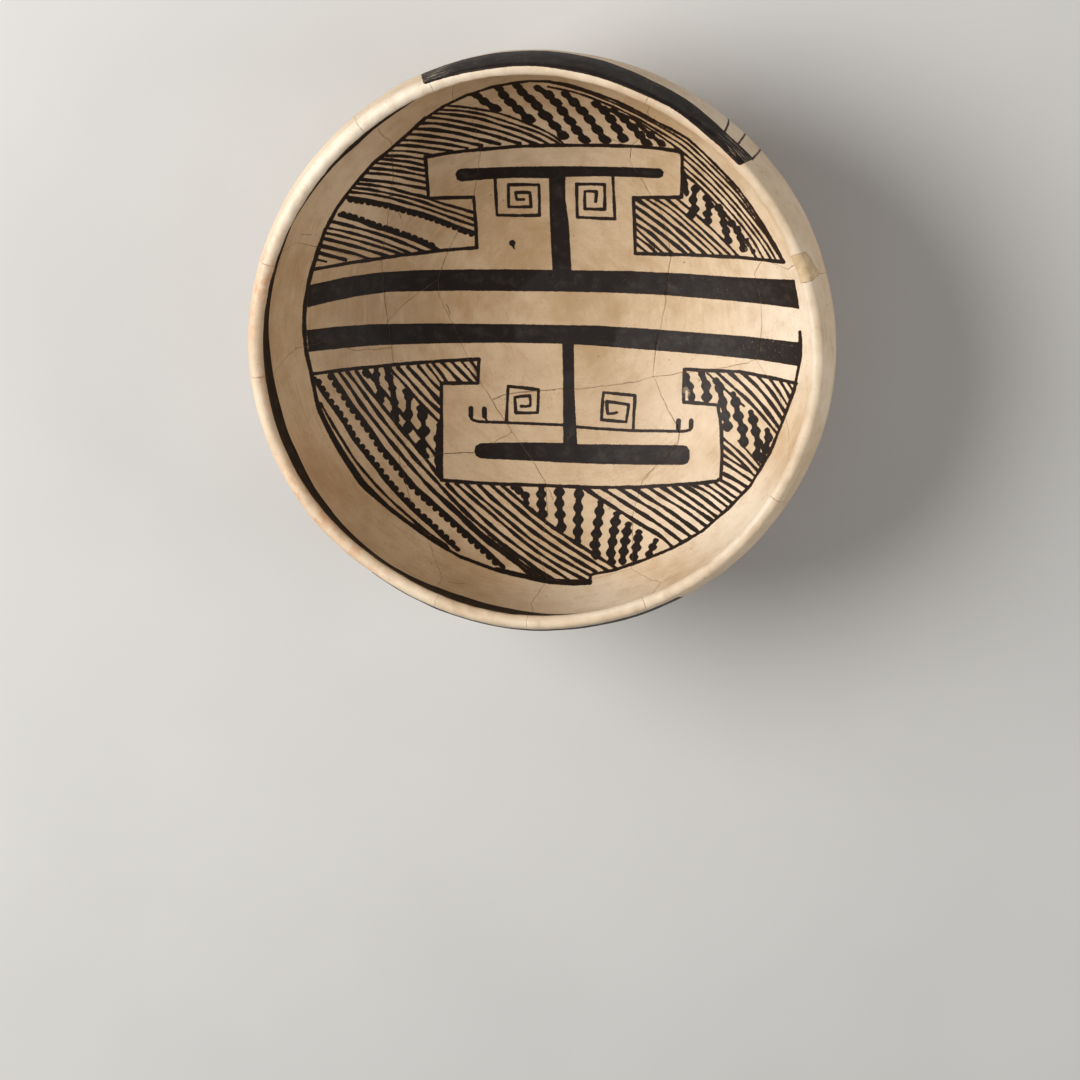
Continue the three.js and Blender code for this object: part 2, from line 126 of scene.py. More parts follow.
FILMS = {
    "adhesive_west": "west", "adhesive_middle": "middle", "adhesive_east": "east",
    "adhesive_base_front": "base_front", "adhesive_right_front": "right_front",
    "adhesive_right_back": "right_back", "adhesive_left_back": "left_back", "adhesive_left": "left",
    "adhesive_inner_left": "inner_left", "adhesive_base_back": "base_back",
    "adhesive_right_upper": "right_upper", "adhesive_front_lower": "front_lower",
    "adhesive_small_upper": "small_upper",
}


def periodic(table, phi):
    tab = np.asarray(table, float)
    n = len(tab)
    x = (phi / TAU * n) % n
    i = np.floor(x).astype(int) % n
    t = x - np.floor(x)
    p0, p1, p2, p3 = (tab[(i + k) % n] for k in (-1, 0, 1, 2))
    return p1 + 0.5 * t * (p2 - p0 + t * (2 * p0 - 5 * p1 + 4 * p2 - p3 + t * (3 * (p1 - p2) + p3 - p0)))


_knots = np.array([(FOOT_R - S_STEP * k, 0.0) for k in (4, 3, 2, 1)] + OUTER
                  + [(2 * OUTER[-1][0] - OUTER[-2][0], 2 * OUTER[-1][1] - OUTER[-2][1])])


def outer_at(s):
    """Radius, height and outward normal of the outer profile, on a smooth curve."""
    x = (np.asarray(s, float) - FOOT_R) / S_STEP + 4
    i = np.clip(np.floor(x).astype(int), 1, len(_knots) - 3)
    t = (x - i)[..., None]
    p0, p1, p2, p3 = (_knots[i + k] for k in (-1, 0, 1, 2))
    p = p1 + 0.5 * t * (p2 - p0 + t * (2 * p0 - 5 * p1 + 4 * p2 - p3 + t * (3 * (p1 - p2) + p3 - p0)))
    d = 0.5 * (p2 - p0 + 2 * t * (2 * p0 - 5 * p1 + 4 * p2 - p3) + 3 * t * t * (3 * (p1 - p2) + p3 - p0))
    l = np.maximum(np.hypot(d[..., 0], d[..., 1]), 1e-9)
    return p[..., 0], np.maximum(p[..., 1], 0.0), d[..., 1] / l, -d[..., 0] / l


def smooth01(x):
    x = np.clip(x, 0.0, 1.0)
    return x * x * (3 - 2 * x)


def place(x, y, inside):
    """Chart point (mm) to a point of the plain wall surface (mm)."""
    s = np.hypot(x, y)
    phi = np.arctan2(y, x) + math.radians(A_TO_PHI)
    sl = np.minimum(s, S_LIP)
    r, z, nr, nz = outer_at(sl)
    deg = np.clip((s - S_LIP) / (S_TOP - S_LIP), 0, 1) * (math.pi / 2)
    side = (-1.0 if inside else 1.0) * (LIP_HALF - 0.03) * np.cos(deg)
    h = (LIP_H - 0.12) * np.sin(deg)
    rr = np.maximum(r - LIP_HALF * nr + side * nr - 0.25 * h, 0)
    zz = z - LIP_HALF * nz + side * nz + h
    b = smooth01((sl - 140) / (S_LIP - 140))
    R = rr * (1 + OUT_OF_ROUND * np.cos(2 * phi)) + b * periodic(RIM_DR, phi)
    Z = zz + b * periodic(RIM_DZ, phi)
    return np.stack([R * np.sin(phi), -R * np.cos(phi), Z], -1)


def waves(seed, wavelength, k=9):
    """Smooth band-limited noise, about -1 to 1, of points in mm."""
    rng = np.random.default_rng(seed)
    d = rng.normal(size=(k, 3))
    d /= np.linalg.norm(d, axis=1)[:, None]
    d *= (TAU / wavelength * rng.uniform(0.65, 1.5, k))[:, None]
    ph = rng.uniform(0, TAU, k)
    return lambda p: np.sin(p @ d.T + ph).sum(-1) / math.sqrt(k)


# ======================================================================
# Flat distance fields for drawing
# ======================================================================


class Field:
    """Signed distance to a set of strokes, on a grid."""

    def __init__(self, x0, y0, x1, y1, cell, far):
        self.x0, self.y0, self.cell, self.far = x0, y0, cell, far
        self.nx, self.ny = int((x1 - x0) / cell) + 2, int((y1 - y0) / cell) + 2
        self.v = np.full((self.ny, self.nx), far, np.float32)

    def _window(self, lo, hi):
        i0 = max(int((lo[0] - self.x0) / self.cell), 0)
        j0 = max(int((lo[1] - self.y0) / self.cell), 0)
        i1 = min(int((hi[0] - self.x0) / self.cell) + 2, self.nx)
        j1 = min(int((hi[1] - self.y0) / self.cell) + 2, self.ny)
        if i1 <= i0 or j1 <= j0:
            return None
        x = self.x0 + np.arange(i0, i1) * self.cell
        y = self.y0 + np.arange(j0, j1) * self.cell
        return (slice(j0, j1), slice(i0, i1)), x[None, :], y[:, None]

    def segment(self, a, b, ra, rb):
        m = self.far + max(ra, rb)
        w = self._window((min(a[0], b[0]) - m, min(a[1], b[1]) - m), (max(a[0], b[0]) + m, max(a[1], b[1]) + m))
        if w is None:
            return
        sl, x, y = w
        ex, ey = b[0] - a[0], b[1] - a[1]
        q = ex * ex + ey * ey
        t = np.clip(((x - a[0]) * ex + (y - a[1]) * ey) / q, 0, 1) if q > 1e-12 else 0.0
        d = np.hypot(x - a[0] - t * ex, y - a[1] - t * ey) - (ra + (rb - ra) * t)
        np.minimum(self.v[sl], d, out=self.v[sl])

    def stroke(self, pts, r, r_end=None, curve=True, shake=0.0):
        p = np.asarray(pts, float)
        if curve and len(p) > 2:
            p = spline(p, 3.0)
        elif shake:
            p = spline(p, 3.0, straight=True)
        n = len(p)
        t = np.arange(n) / max(n - 1, 1)
        rad = np.full(n, float(r)) if r_end is None else r + (r_end - r) * t
        if shake:
            ph = (p[0, 0] * 1.7 + p[0, 1] * 2.3)
            L = np.concatenate([[0], np.cumsum(np.hypot(*np.diff(p, axis=0).T))])
            rad = rad * (1 + shake * (np.sin(L / 4.3 + ph) * 0.6 + np.sin(L / 9.7 + 2 * ph) * 0.6))
        for i in range(n - 1):
            self.segment(p[i], p[i + 1], rad[i], rad[i + 1])

    def blob(self, x, y, a, b, turn=0.0, power=2.0):
        m = self.far + max(a, b)
        w = self._window((x - m, y - m), (x + m, y + m))
        if w is None:
            return
        sl, X, Y = w
        c, s = math.cos(math.radians(turn)), math.sin(math.radians(turn))
        u, v = ((X - x) * c + (Y - y) * s) / a, (-(X - x) * s + (Y - y) * c) / b
        k = (np.abs(u) ** power + np.abs(v) ** power) ** (1 / power)
        d = (k - 1) * min(a, b)
        np.minimum(self.v[sl], np.minimum(d, self.far), out=self.v[sl])

    def polygon(self, pts, grow=0.0):
        p = np.asarray(pts, float)
        m = self.far
        w = self._window(p.min(0) - m, p.max(0) + m)
        sl, X, Y = w
        d = np.full(np.broadcast(X, Y).shape, 1e9)
        odd = np.zeros(d.shape, bool)
        for i in range(len(p)):
            a, b = p[i], p[(i + 1) % len(p)]
            ex, ey = b - a
            if ex * ex + ey * ey < 1e-9:
                continue
            t = np.clip(((X - a[0]) * ex + (Y - a[1]) * ey) / (ex * ex + ey * ey), 0, 1)
            d = np.minimum(d, np.hypot(X - a[0] - t * ex, Y - a[1] - t * ey))
            if a[1] != b[1]:
                odd ^= ((a[1] > Y) != (b[1] > Y)) & (X < (b[0] - a[0]) * (Y - a[1]) / (b[1] - a[1]) + a[0])
        d = np.where(odd, -d, d) - grow
        np.minimum(self.v[sl], np.minimum(d, self.far), out=self.v[sl])

    def sample(self, x, y):
        u = np.clip((x - self.x0) / self.cell, 0, self.nx - 1.001)
        v = np.clip((y - self.y0) / self.cell, 0, self.ny - 1.001)
        i, j = u.astype(int), v.astype(int)
        fu, fv = u - i, v - j
        g = self.v
        r = (g[j, i] * (1 - fu) + g[j, i + 1] * fu) * (1 - fv) + (g[j + 1, i] * (1 - fu) + g[j + 1, i + 1] * fu) * fv
        off = (x < self.x0) | (y < self.y0) | (x > self.x0 + (self.nx - 1) * self.cell) | (y > self.y0 + (self.ny - 1) * self.cell)
        return np.where(off, self.far, r)


def spline(p, step, straight=False):
    """Dense points along a polyline, on a Catmull-Rom curve or straight."""
    p = np.asarray(p, float)
    out = []
    q = np.concatenate([[2 * p[0] - p[1]], p, [2 * p[-1] - p[-2]]])
    for i in range(1, len(q) - 2):
        n = max(int(math.ceil(np.hypot(*(q[i + 1] - q[i])) / step)), 1)
        t = (np.arange(n) / n)[:, None]
        if straight:
            out.append(q[i] + (q[i + 1] - q[i]) * t)
            continue
        # centripetal spacing keeps uneven points from looping
        d = [max(np.hypot(*(q[i + k] - q[i + k - 1])), 1e-6) ** 0.5 for k in (0, 1, 2)]
        m1 = (q[i] - q[i - 1]) / d[0] - (q[i + 1] - q[i - 1]) / (d[0] + d[1]) + (q[i + 1] - q[i]) / d[1]
        m2 = (q[i + 1] - q[i]) / d[1] - (q[i + 2] - q[i]) / (d[1] + d[2]) + (q[i + 2] - q[i + 1]) / d[2]
        m1, m2 = m1 * d[1], m2 * d[1]
        out.append((2 * t ** 3 - 3 * t ** 2 + 1) * q[i] + (t ** 3 - 2 * t ** 2 + t) * m1
                   + (-2 * t ** 3 + 3 * t ** 2) * q[i + 1] + (t ** 3 - t ** 2) * m2)
    out.append(p[-1:])
    return np.concatenate(out)


# ======================================================================
# The painted field inside, drawn on the view straight into the bowl.
# Units: 2.323 to a millimetre at the height of the bowl's middle.
# ======================================================================

VIEW_SCALE, VIEW_DIST, VIEW_C = 2.323, 1500.0, (550.3, 333.3)
ALPHA, BETA = math.radians(12.2), math.radians(42.4)
_c = np.array([math.sin(ALPHA) * math.cos(BETA), math.sin(ALPHA) * math.sin(BETA), math.cos(ALPHA)])
_u = np.array([math.cos(ALPHA) * math.cos(BETA), math.cos(ALPHA) * math.sin(BETA), -math.sin(ALPHA)])
_v = np.array([-math.sin(BETA), math.cos(BETA), 0.0])
_right, _up = _u * math.cos(BETA) - _v * math.sin(BETA), _u * math.sin(BETA) + _v * math.cos(BETA)
_turn = math.radians(A_TO_PHI - 90)
_R = np.array([[math.cos(_turn), -math.sin(_turn), 0], [math.sin(_turn), math.cos(_turn), 0], [0, 0, 1]])
TO_EYE, RIGHT, UP = _R @ _c, _R @ _right, _R @ _up
AIM = np.array([0, 0, 50.5])


def seen(p):
    """Where a point (mm) lies on the drawing."""
    q = p - AIM
    k = VIEW_SCALE * VIEW_DIST / (VIEW_DIST - q @ TO_EYE)
    return VIEW_C[0] + k * (q @ RIGHT), VIEW_C[1] - k * (q @ UP)


LINE = 1.35          # half width of the fine lines

FRAME_LINE = [(783, 262), (774, 244.5), (762.3, 225.9), (751, 208), (738.2, 190.5), (727, 178.5), (714, 165.2),
              (701, 152.5), (687.6, 140.6), (674, 132.5), (660, 125.5), (638.6, 113.8), (616.5, 103), (598.6, 96.3),
              (580, 90), (565, 86), (548, 83.4), (530, 83), (513, 85), (492, 89), (467, 97), (446, 107), (426, 119.6),
              (404.5, 139), (373.5, 165), (352.5, 188.8), (338.5, 207.6), (326, 230.5), (316.2, 257), (309.3, 280.3),
              (305, 305.6), (304.2, 333), (306.3, 353), (311.8, 376.5), (318.6, 409.3), (331.7, 437.3), (350, 467.2),
              (364.8, 486.8), (394.5, 511.6), (432.7, 540.8), (459, 556.3), (500.6, 572), (532, 579), (550, 582.8),
              (575, 584.3), (590, 583.5), (590.5, 575), (602, 572.5), (615, 570), (644, 560), (673, 548), (702.5, 531),
              (729.3, 507.5), (750.3, 485.5), (770, 452.5), (782, 422.5), (794, 389.7), (800.6, 355), (799.5, 332)]
OUTLINES = [
    [(426, 158), (452, 153.6), (480, 150.8), (515, 147.8), (550, 146.6), (600, 146.6), (640, 147.8), (660, 149.8),
     (677, 152.3), (681.5, 154.5), (681.5, 176), (681, 198), (657, 198.3), (633, 198.3), (634.3, 226), (635, 254),
     (690, 255.3), (740, 257.8), (783, 262.5)],
    [(426, 158), (427.6, 178), (429, 199), (450, 198.4), (474, 198), (476, 223), (477, 248), (440, 251),
     (399, 256), (350, 263.3), (315, 269.5)],
    [(312, 374), (345, 369.5), (400, 364), (440, 361), (479, 359), (478, 383), (460, 383), (441.5, 383),
     (441.5, 430), (441.5, 480), (470, 482.3), (500, 483.9), (540, 485.2), (580, 486.8), (600, 487.4),
     (640, 487), (670, 485), (700, 483), (717, 481), (721, 478), (722, 455), (721.5, 432), (720, 418),
     (717.5, 405), (700, 403.2), (683.5, 402), (684, 369), (701, 370.2), (740, 371.6), (760, 375.5),
     (780, 379.5), (796, 383.3)],
]
BARS = [
    # upper stripe, lower stripe
    [(308.5, 285.5), (345, 277.5), (380, 272.6), (416, 270.4), (470, 269.6), (513, 269.5), (570, 270.4), (630, 271.3),
     (680, 273.6), (730, 277), (770, 279.2), (794, 280), (797, 297), (799, 309), (765, 304.5), (730, 300.8),
     (663, 295.2), (610, 292.8), (563, 291.8), (463, 290.8), (390, 291.9), (357, 296.5), (330, 302), (308, 307.6)],
    [(307, 330), (335, 326.8), (370, 324.2), (430, 323.3), (513, 324.2), (597, 325.6), (640, 328.2), (680, 331.2),
     (746, 336.3), (801.5, 342.7), (802, 356), (799.3, 366.3), (760, 360), (713, 355.2), (670, 351.6), (630, 348.4),
     (590, 345.3), (560, 343.6), (500, 342.6), (446, 343.2), (380, 345), (345, 348), (309, 351.8)],
    # upper figure
    [(455.8, 175), (457.5, 171.2), (462, 169.6), (490, 168.6), (517, 167.6), (563, 167.2), (600, 167.6), (640, 168.6),
     (660, 169.6), (663.4, 172.5), (662.6, 177), (659, 179.2), (630, 178), (600, 177.3), (565.6, 177.8), (565.3, 187),
     (565.5, 200), (569, 226), (570.3, 250), (571.6, 272), (552.5, 272), (551.4, 250), (550, 226), (549.3, 200),
     (549, 187), (548.8, 179.2), (513, 178.9), (490, 180), (462, 182.4), (457.4, 180.6)],
    # lower figure
    [(562.2, 343), (563, 380), (563, 410), (563.3, 442.8), (530, 442.2), (500, 442.4), (480, 443), (475.6, 446),
     (474.4, 451), (476, 456), (481, 458.4), (505, 459.4), (530, 460.6), (563, 462.4), (600, 463.8), (640, 464.6),
     (682, 464.8), (687.6, 463.2), (689.8, 458.5), (689.6, 450.5), (687.3, 446.3), (683, 445), (640, 444.6),
     (600, 444), (577.3, 444), (576, 420), (574.6, 395), (573.8, 343)],
]
SPIRALS = [
    [(495.3, 179), (496.2, 198), (497.3, 215.7), (518, 216.2), (539.6, 216), (539.4, 200), (539, 185.7), (524, 185.5),
     (508.6, 185.6), (508.6, 196), (508.8, 207.6), (520, 207.7), (531, 207.4), (530.6, 200), (530, 193.4),
     (523, 193.2), (515.7, 193.4), (516.2, 197), (516.9, 200.4), (523.9, 200.2)],
    [(612.6, 179), (613.8, 200), (614.7, 219.6), (596, 218.8), (577.3, 217.8), (576.8, 200), (576.5, 185.2),
     (590, 185), (604.4, 185.3), (604.6, 198), (604.5, 210), (594, 210), (584.7, 209.5), (584.6, 200),
     (584.7, 192.3), (590, 192), (596.3, 192.4), (596.1, 197), (595.6, 202.2)],
    [(506.6, 421), (507.2, 404), (508.2, 386.2), (523, 387.6), (538.6, 389.4), (538.2, 401), (537.6, 412.5),
     (526, 412.8), (515.8, 412.5), (515.2, 404), (514.8, 397.2), (522, 396), (529.8, 395.6), (530.4, 400),
     (530.3, 405.7), (525, 406.4), (521.2, 406)],
    [(633.2, 429), (634, 412), (635, 395.4), (619, 393.8), (603.4, 392.3), (602.2, 406), (601.5, 419.6),
     (614, 420.8), (626.2, 421.7), (627.6, 413), (628.8, 404.6), (617, 402.6), (606.8, 401.4), (607, 408),
     (607.8, 413.4), (612, 413.4), (616.7, 412.4)],
]
HOOKS = [   # points, half width
    ([(471.2, 407.5), (471, 412), (471.4, 418.5), (476, 420.8), (500, 422.2), (550, 424.2), (563, 424.8)], 1.25),
    ([(576, 426.6), (604, 428.8), (632, 430.3), (660, 430.8), (687, 430.6), (691, 428.6), (691.4, 419.5)], 1.3),
    ([(471, 408), (471, 415.5)], 2.1), ([(484.4, 408.8), (484.6, 416)], 2.2), ([(484.6, 416), (486.8, 420.6)], 0.9),
    ([(678.6, 420.6), (678.3, 427.6)], 2.1), ([(678.3, 427), (679.4, 430.4)], 1.2), ([(691.2, 420.6), (691, 427)], 2.0),
]
HATCH = [    # half width, points
    # top left, above the step
    (1.2, [(446, 107.2), (460, 108.2), (480, 111), (500, 115.1), (520, 122), (540, 130.1), (555, 138.2), (564, 145.5)]),
    (1.3, [(440, 111.4), (460, 112.3), (480, 115.3), (500, 121), (520, 127.6), (540, 134.6), (555, 142.4), (561, 146)]),
    (1.6, [(434, 114.6), (445, 115.4), (460, 117), (480, 120.2), (500, 126.4), (520, 132.5), (540, 140.9), (550, 146)]),
    (1.6, [(428, 118.6), (445, 120.6), (460, 123.2), (480, 127.6), (500, 132.4), (520, 139.2), (538, 146)]),
    (1.85, [(420, 124.6), (436, 124.9), (460, 128.9), (480, 133.1), (500, 138.7), (520, 145)]),
    (1.9, [(413, 130.2), (430, 130.8), (445, 132.6), (460, 135.2), (480, 140.4), (500, 145.4)]),
    (1.7, [(406, 135.4), (422, 136.2), (445, 139.4), (460, 142.2), (482, 146.8)]),
    (1.6, [(398, 141), (414, 141.8), (430, 143.4), (445, 145.2), (468, 149.4)]),
    (1.6, [(391, 146.6), (404, 146.6), (419, 147.6), (436, 150), (453, 152.2)]),
    (1.2, [(387, 151.8), (400, 152), (415, 153.1), (432, 155.8)]),
    # left, beside the step
    (1.5, [(385, 156.8), (400, 157), (410, 158), (426, 160.5)]), (1.5, [(382, 160), (400, 161.8), (410, 163), (426.6, 167)]),
    (1.6, [(376, 164), (390, 165.3), (410, 168.8), (427, 172)]), (1.6, [(370, 169), (390, 170.8), (410, 173.8), (427.6, 177.4)]),
    (1.5, [(366, 173.8), (390, 175.8), (410, 179.8), (428.6, 183.8)]), (1.6, [(359, 180), (370, 181.1), (390, 183.1), (410, 186.6), (429.2, 190)]),
    (1.6, [(355.6, 184.2), (370, 185.6), (390, 188.8), (410, 194.3), (425, 197.8), (440, 203.4), (455, 207.6), (475.4, 213.6)]),
    (1.5, [(353, 188.6), (370, 190.3), (390, 194.3), (410, 198.8), (425, 203.1), (440, 208.9), (455, 213.4), (475.6, 220.6)]),
    (1.5, [(350, 192.6), (370, 194.8), (390, 198.6), (410, 204.2), (425, 208.8), (440, 214), (455, 219.6), (476, 226.6)]),
    # lower left of it
    (1.8, [(330.6, 221.6), (346.8, 225.5), (370, 231.8), (392.8, 239.2), (412, 246.8), (424, 251.8)]),
    (1.5, [(328, 228.4), (345, 231.8), (368, 237.9), (390.8, 245.7), (411, 253.8)]),
    (1.5, [(326, 233.4), (343.3, 237), (366.4, 243.4), (389.4, 250.4), (404.6, 255.2)]),
    (1.8, [(320.6, 238.2), (335.6, 241.6), (358.9, 247.7), (376, 252.8), (390.6, 257.2)]),
    (1.9, [(318.6, 245.4), (333.4, 248.8), (356.8, 254.6), (371, 259.8)]), (1.9, [(316.6, 252.2), (331, 256.2), (346, 260)]),
    (1.5, [(315.6, 259.4), (327, 262)]),
    # outer arcs at the right
    (1.15, [(552, 84.8), (575, 90.2), (597, 98), (617, 106.4), (637, 115.8), (660, 128.4), (684.7, 143.4), (699, 156),
            (711.6, 167.8), (724, 180), (735.4, 191.8), (748, 208.6), (760.4, 227), (771, 243), (781, 261)]),
    (1.2, [(548, 88.6), (575, 94.4), (596.2, 101.6), (615, 109.4), (636, 119.6), (658, 132.4), (681.4, 146.7),
           (699.4, 162.3), (716.6, 179.1), (733.9, 195.9), (749.2, 215), (764.1, 234.5), (777, 254)]),
    (1.2, [(600, 108), (628, 118.4), (643.1, 126.7), (668.3, 143.3), (687.4, 157.9), (705.5, 173.7), (722.3, 190.9),
           (738.5, 209), (753.8, 228.1), (768.2, 248.2), (775, 260)]),
    (1.2, [(681.5, 158.6), (697.7, 173.6), (715.2, 190.1), (731.8, 207.7), (747.3, 226.5), (762, 246.4), (770, 259.6)]),
    (1.25, [(681.5, 166.6), (692.2, 175.6), (703.3, 185.6), (720.3, 202.7), (736.5, 220.8), (751.5, 240.2), (763, 259.4)]),
    (1.4, [(682, 173.4), (697.6, 186.4), (706.5, 195.4), (715.2, 204.1), (729.2, 220.1), (741, 236), (755.8, 258.4)]),
    # under the step at the right
    (1.7, [(635.6, 244), (648, 253.8)]), (1.4, [(635.4, 236.4), (644.7, 243.3), (650, 247.4), (656.4, 254)]),
    (1.4, [(634.8, 228.6), (647.3, 240), (663.6, 254.2)]), (1.8, [(634.4, 223.4), (651.4, 234.8), (671.4, 253.6)]),
    (1.9, [(634, 215), (650.2, 226.5), (669.4, 241), (686, 254.2)]), (1.8, [(633.6, 206.2), (649.7, 217.5), (668.9, 231.8), (694, 254.6)]),
    (1.9, [(636, 199.6), (653.9, 212.1), (672.8, 226.9), (691.2, 242.3), (705, 254.6)]),
    (1.35, [(645.6, 199.6), (662.6, 210.6), (681.3, 225.7), (699.4, 241.6), (713, 254.6)]),
    (1.3, [(654.6, 199.6), (670.8, 209.9), (689, 225.6), (707, 241.5), (721, 254.8)]),
    (1.45, [(665.6, 199.4), (678.5, 209.8), (696.7, 225.5), (714.5, 241.7), (729.4, 255.4)]),
    (1.4, [(676, 199.4), (690, 210.6), (708, 226.6), (724, 242), (738, 257)]),
    # lower left
    (2.0, [(339, 371.8), (349.2, 385.7), (362.6, 405.8), (377.3, 424.8), (392.1, 443.7), (407.5, 462.1), (423.3, 480.2),
           (440.1, 497.5), (457.2, 514.4), (474.8, 531), (493.5, 546.6), (513.4, 561.2), (531, 575)]),
    (1.9, [(347.6, 372), (358.4, 385.8), (372.6, 405.3), (387, 424.5), (402.4, 442.9), (417.8, 461.3), (434.2, 478.9),
           (450.4, 496.7), (467.2, 513.9), (485.3, 530), (507.2, 548.1), (530, 565), (545, 578)]),
    (2.0, [(356.6, 371.6), (367.2, 386.3), (385.7, 410), (412.4, 442.4), (427.5, 461), (441.1, 478.4)]),
    (1.9, [(367, 371), (386, 394), (406, 418.4), (424, 440), (441, 462)]),
    (1.5, [(321, 403), (325.6, 411.7), (333.9, 426.5), (342.2, 439.8), (353.6, 458), (367, 474.8), (378.6, 488), (392, 501.5),
           (407, 514.8), (420, 526.4), (433.3, 536.6), (446.7, 545.8)]),
    (1.7, [(388, 366.6), (404, 383.6), (421, 403.4), (440, 422.4)]), (1.9, [(398, 367.4), (409.3, 379.9), (425.3, 397.8), (441, 412.6)]),
    (2.2, [(408, 367), (419.6, 379.1), (431.8, 392.6), (441, 403.6)]), (1.7, [(418.6, 366), (429.4, 378.7), (433.4, 383.2), (441, 390.4)]),
    (1.5, [(427.4, 365), (434.8, 374.2), (440.5, 382)]), (1.75, [(432.6, 363), (439.1, 370.6), (448.2, 383.6)]),
    (1.9, [(442, 362.6), (449.2, 369.9), (457.4, 378.8), (463, 384)]), (2.0, [(452, 362), (459.2, 369.4), (471.6, 382)]),
    (1.5, [(461.9, 361.6), (468.6, 369.4), (478, 380.8)]), (1.7, [(471, 360.8), (478.6, 372.4)]),
    # bottom
    (1.9, [(433, 489.6), (452, 506.6), (470, 523), (489.3, 539.6), (508.5, 554), (528, 568), (540, 578.6)]),
    (2.0, [(438.6, 484), (450.5, 496.8), (467.4, 513.9), (485.3, 529.8), (503.7, 545.3), (523.5, 559.4), (553, 580)]),
    (1.85, [(447, 484), (459.1, 496.4), (476.8, 512.6), (494.6, 528.7), (513.6, 543.6), (533.2, 557.7), (554.1, 570.5), (570, 580.6)]),
    (1.8, [(456, 483.6), (468.8, 494.8), (487.1, 510.4), (505.3, 526), (523.7, 541.5), (543.1, 555.8), (563.8, 568.8), (586, 580.6)]),
    (1.8, [(465, 483), (477.3, 494.5), (495.6, 510.1), (513.9, 525.6), (532.6, 540.8), (552.8, 554.2), (574.2, 566.5), (590, 575.4)]),
    (2.0, [(478, 484), (491.3, 497.1), (509.6, 512.6), (528.2, 527.9), (547.8, 542.1), (568.2, 555.4), (596, 572)]),
    (2.0, [(490, 484), (506.5, 498.4), (524.7, 514), (543.5, 529.1), (563.4, 543), (583.9, 556.1), (607, 570.4)]),
    (2.0, [(500.6, 484.4), (515.8, 497.2), (534.3, 512.6), (553.3, 527.6), (576, 543), (600, 558), (616, 568.4)]),
    (2.1, [(583, 487), (603.3, 500.4), (623.2, 513), (643.5, 526), (660, 535.6), (672, 546.4)]),
    (2.05, [(601.6, 487.6), (618.4, 498.6), (638.7, 511.5), (658.9, 524.5), (681.1, 541)]),
    (2.05, [(617.8, 487.4), (633.8, 497.8), (654.3, 510.5), (674, 524.1), (691, 536.6)]),
    (2.1, [(632.6, 487.4), (648.7, 497.8), (669, 510.6), (697, 531)]), (1.7, [(648, 487), (663.8, 497.4), (684.3, 510), (707, 526.6)]),
    (2.0, [(661.6, 486.6), (677.9, 497.6), (698.3, 511.1), (714, 522)]), (1.9, [(673.4, 486), (692.4, 498.9), (718, 517.6)]),
    (2.0, [(682.6, 484.4), (696.7, 492.9), (723.4, 513)]), (1.6, [(691, 484), (705.6, 490.9), (728.6, 507.6)]),
    (1.8, [(704, 483), (718.9, 492.9), (732.4, 503)]), (1.5, [(714, 482), (722.5, 488.1), (736, 498)]),
    # right, lower
    (1.05, [(738, 440.4), (747.1, 450.5), (759.6, 465)]), (1.6, [(721.6, 437.2), (733.7, 447.1), (746.9, 459.3), (757.6, 470.6)]),
    (1.7, [(721.6, 444.8), (734.1, 455.2), (743, 463.4), (754.4, 475.6)]), (1.6, [(721.6, 453.4), (735.3, 462.7), (751, 471.8)]),
    (1.6, [(721.6, 461.2), (731.1, 467), (741.2, 473.8), (751.6, 480.6)]), (1.9, [(721, 472.4), (730, 476.8), (738, 481.4), (747.6, 487.4)]),
    (1.9, [(720.6, 480), (730.1, 485.3), (744.6, 495)]), (1.7, [(718, 484.9), (730.1, 493.9), (739.6, 500)]),
    # right, upper
    (1.3, [(707, 373), (717, 382.1), (732, 395.6), (744, 406)]), (1.75, [(716, 371.6), (731, 385.3), (748.9, 401.4), (763, 416.6), (778.6, 435.4)]),
    (2.0, [(728.6, 371.6), (741.5, 383.5), (758.1, 400.8), (770, 415.6), (781, 430.6)]),
    (2.0, [(741, 372), (756.3, 385.9), (771.7, 404.4), (784.6, 423)]), (1.8, [(755.6, 374), (769.6, 389.7), (779, 403), (787, 416)]),
    (1.5, [(768, 376.6), (777.8, 390.1), (790, 409.4)]), (1.7, [(778.6, 379), (785.9, 390.7), (792, 401.6)]),
    (1.45, [(786.6, 381), (794.4, 393.4)]),
]
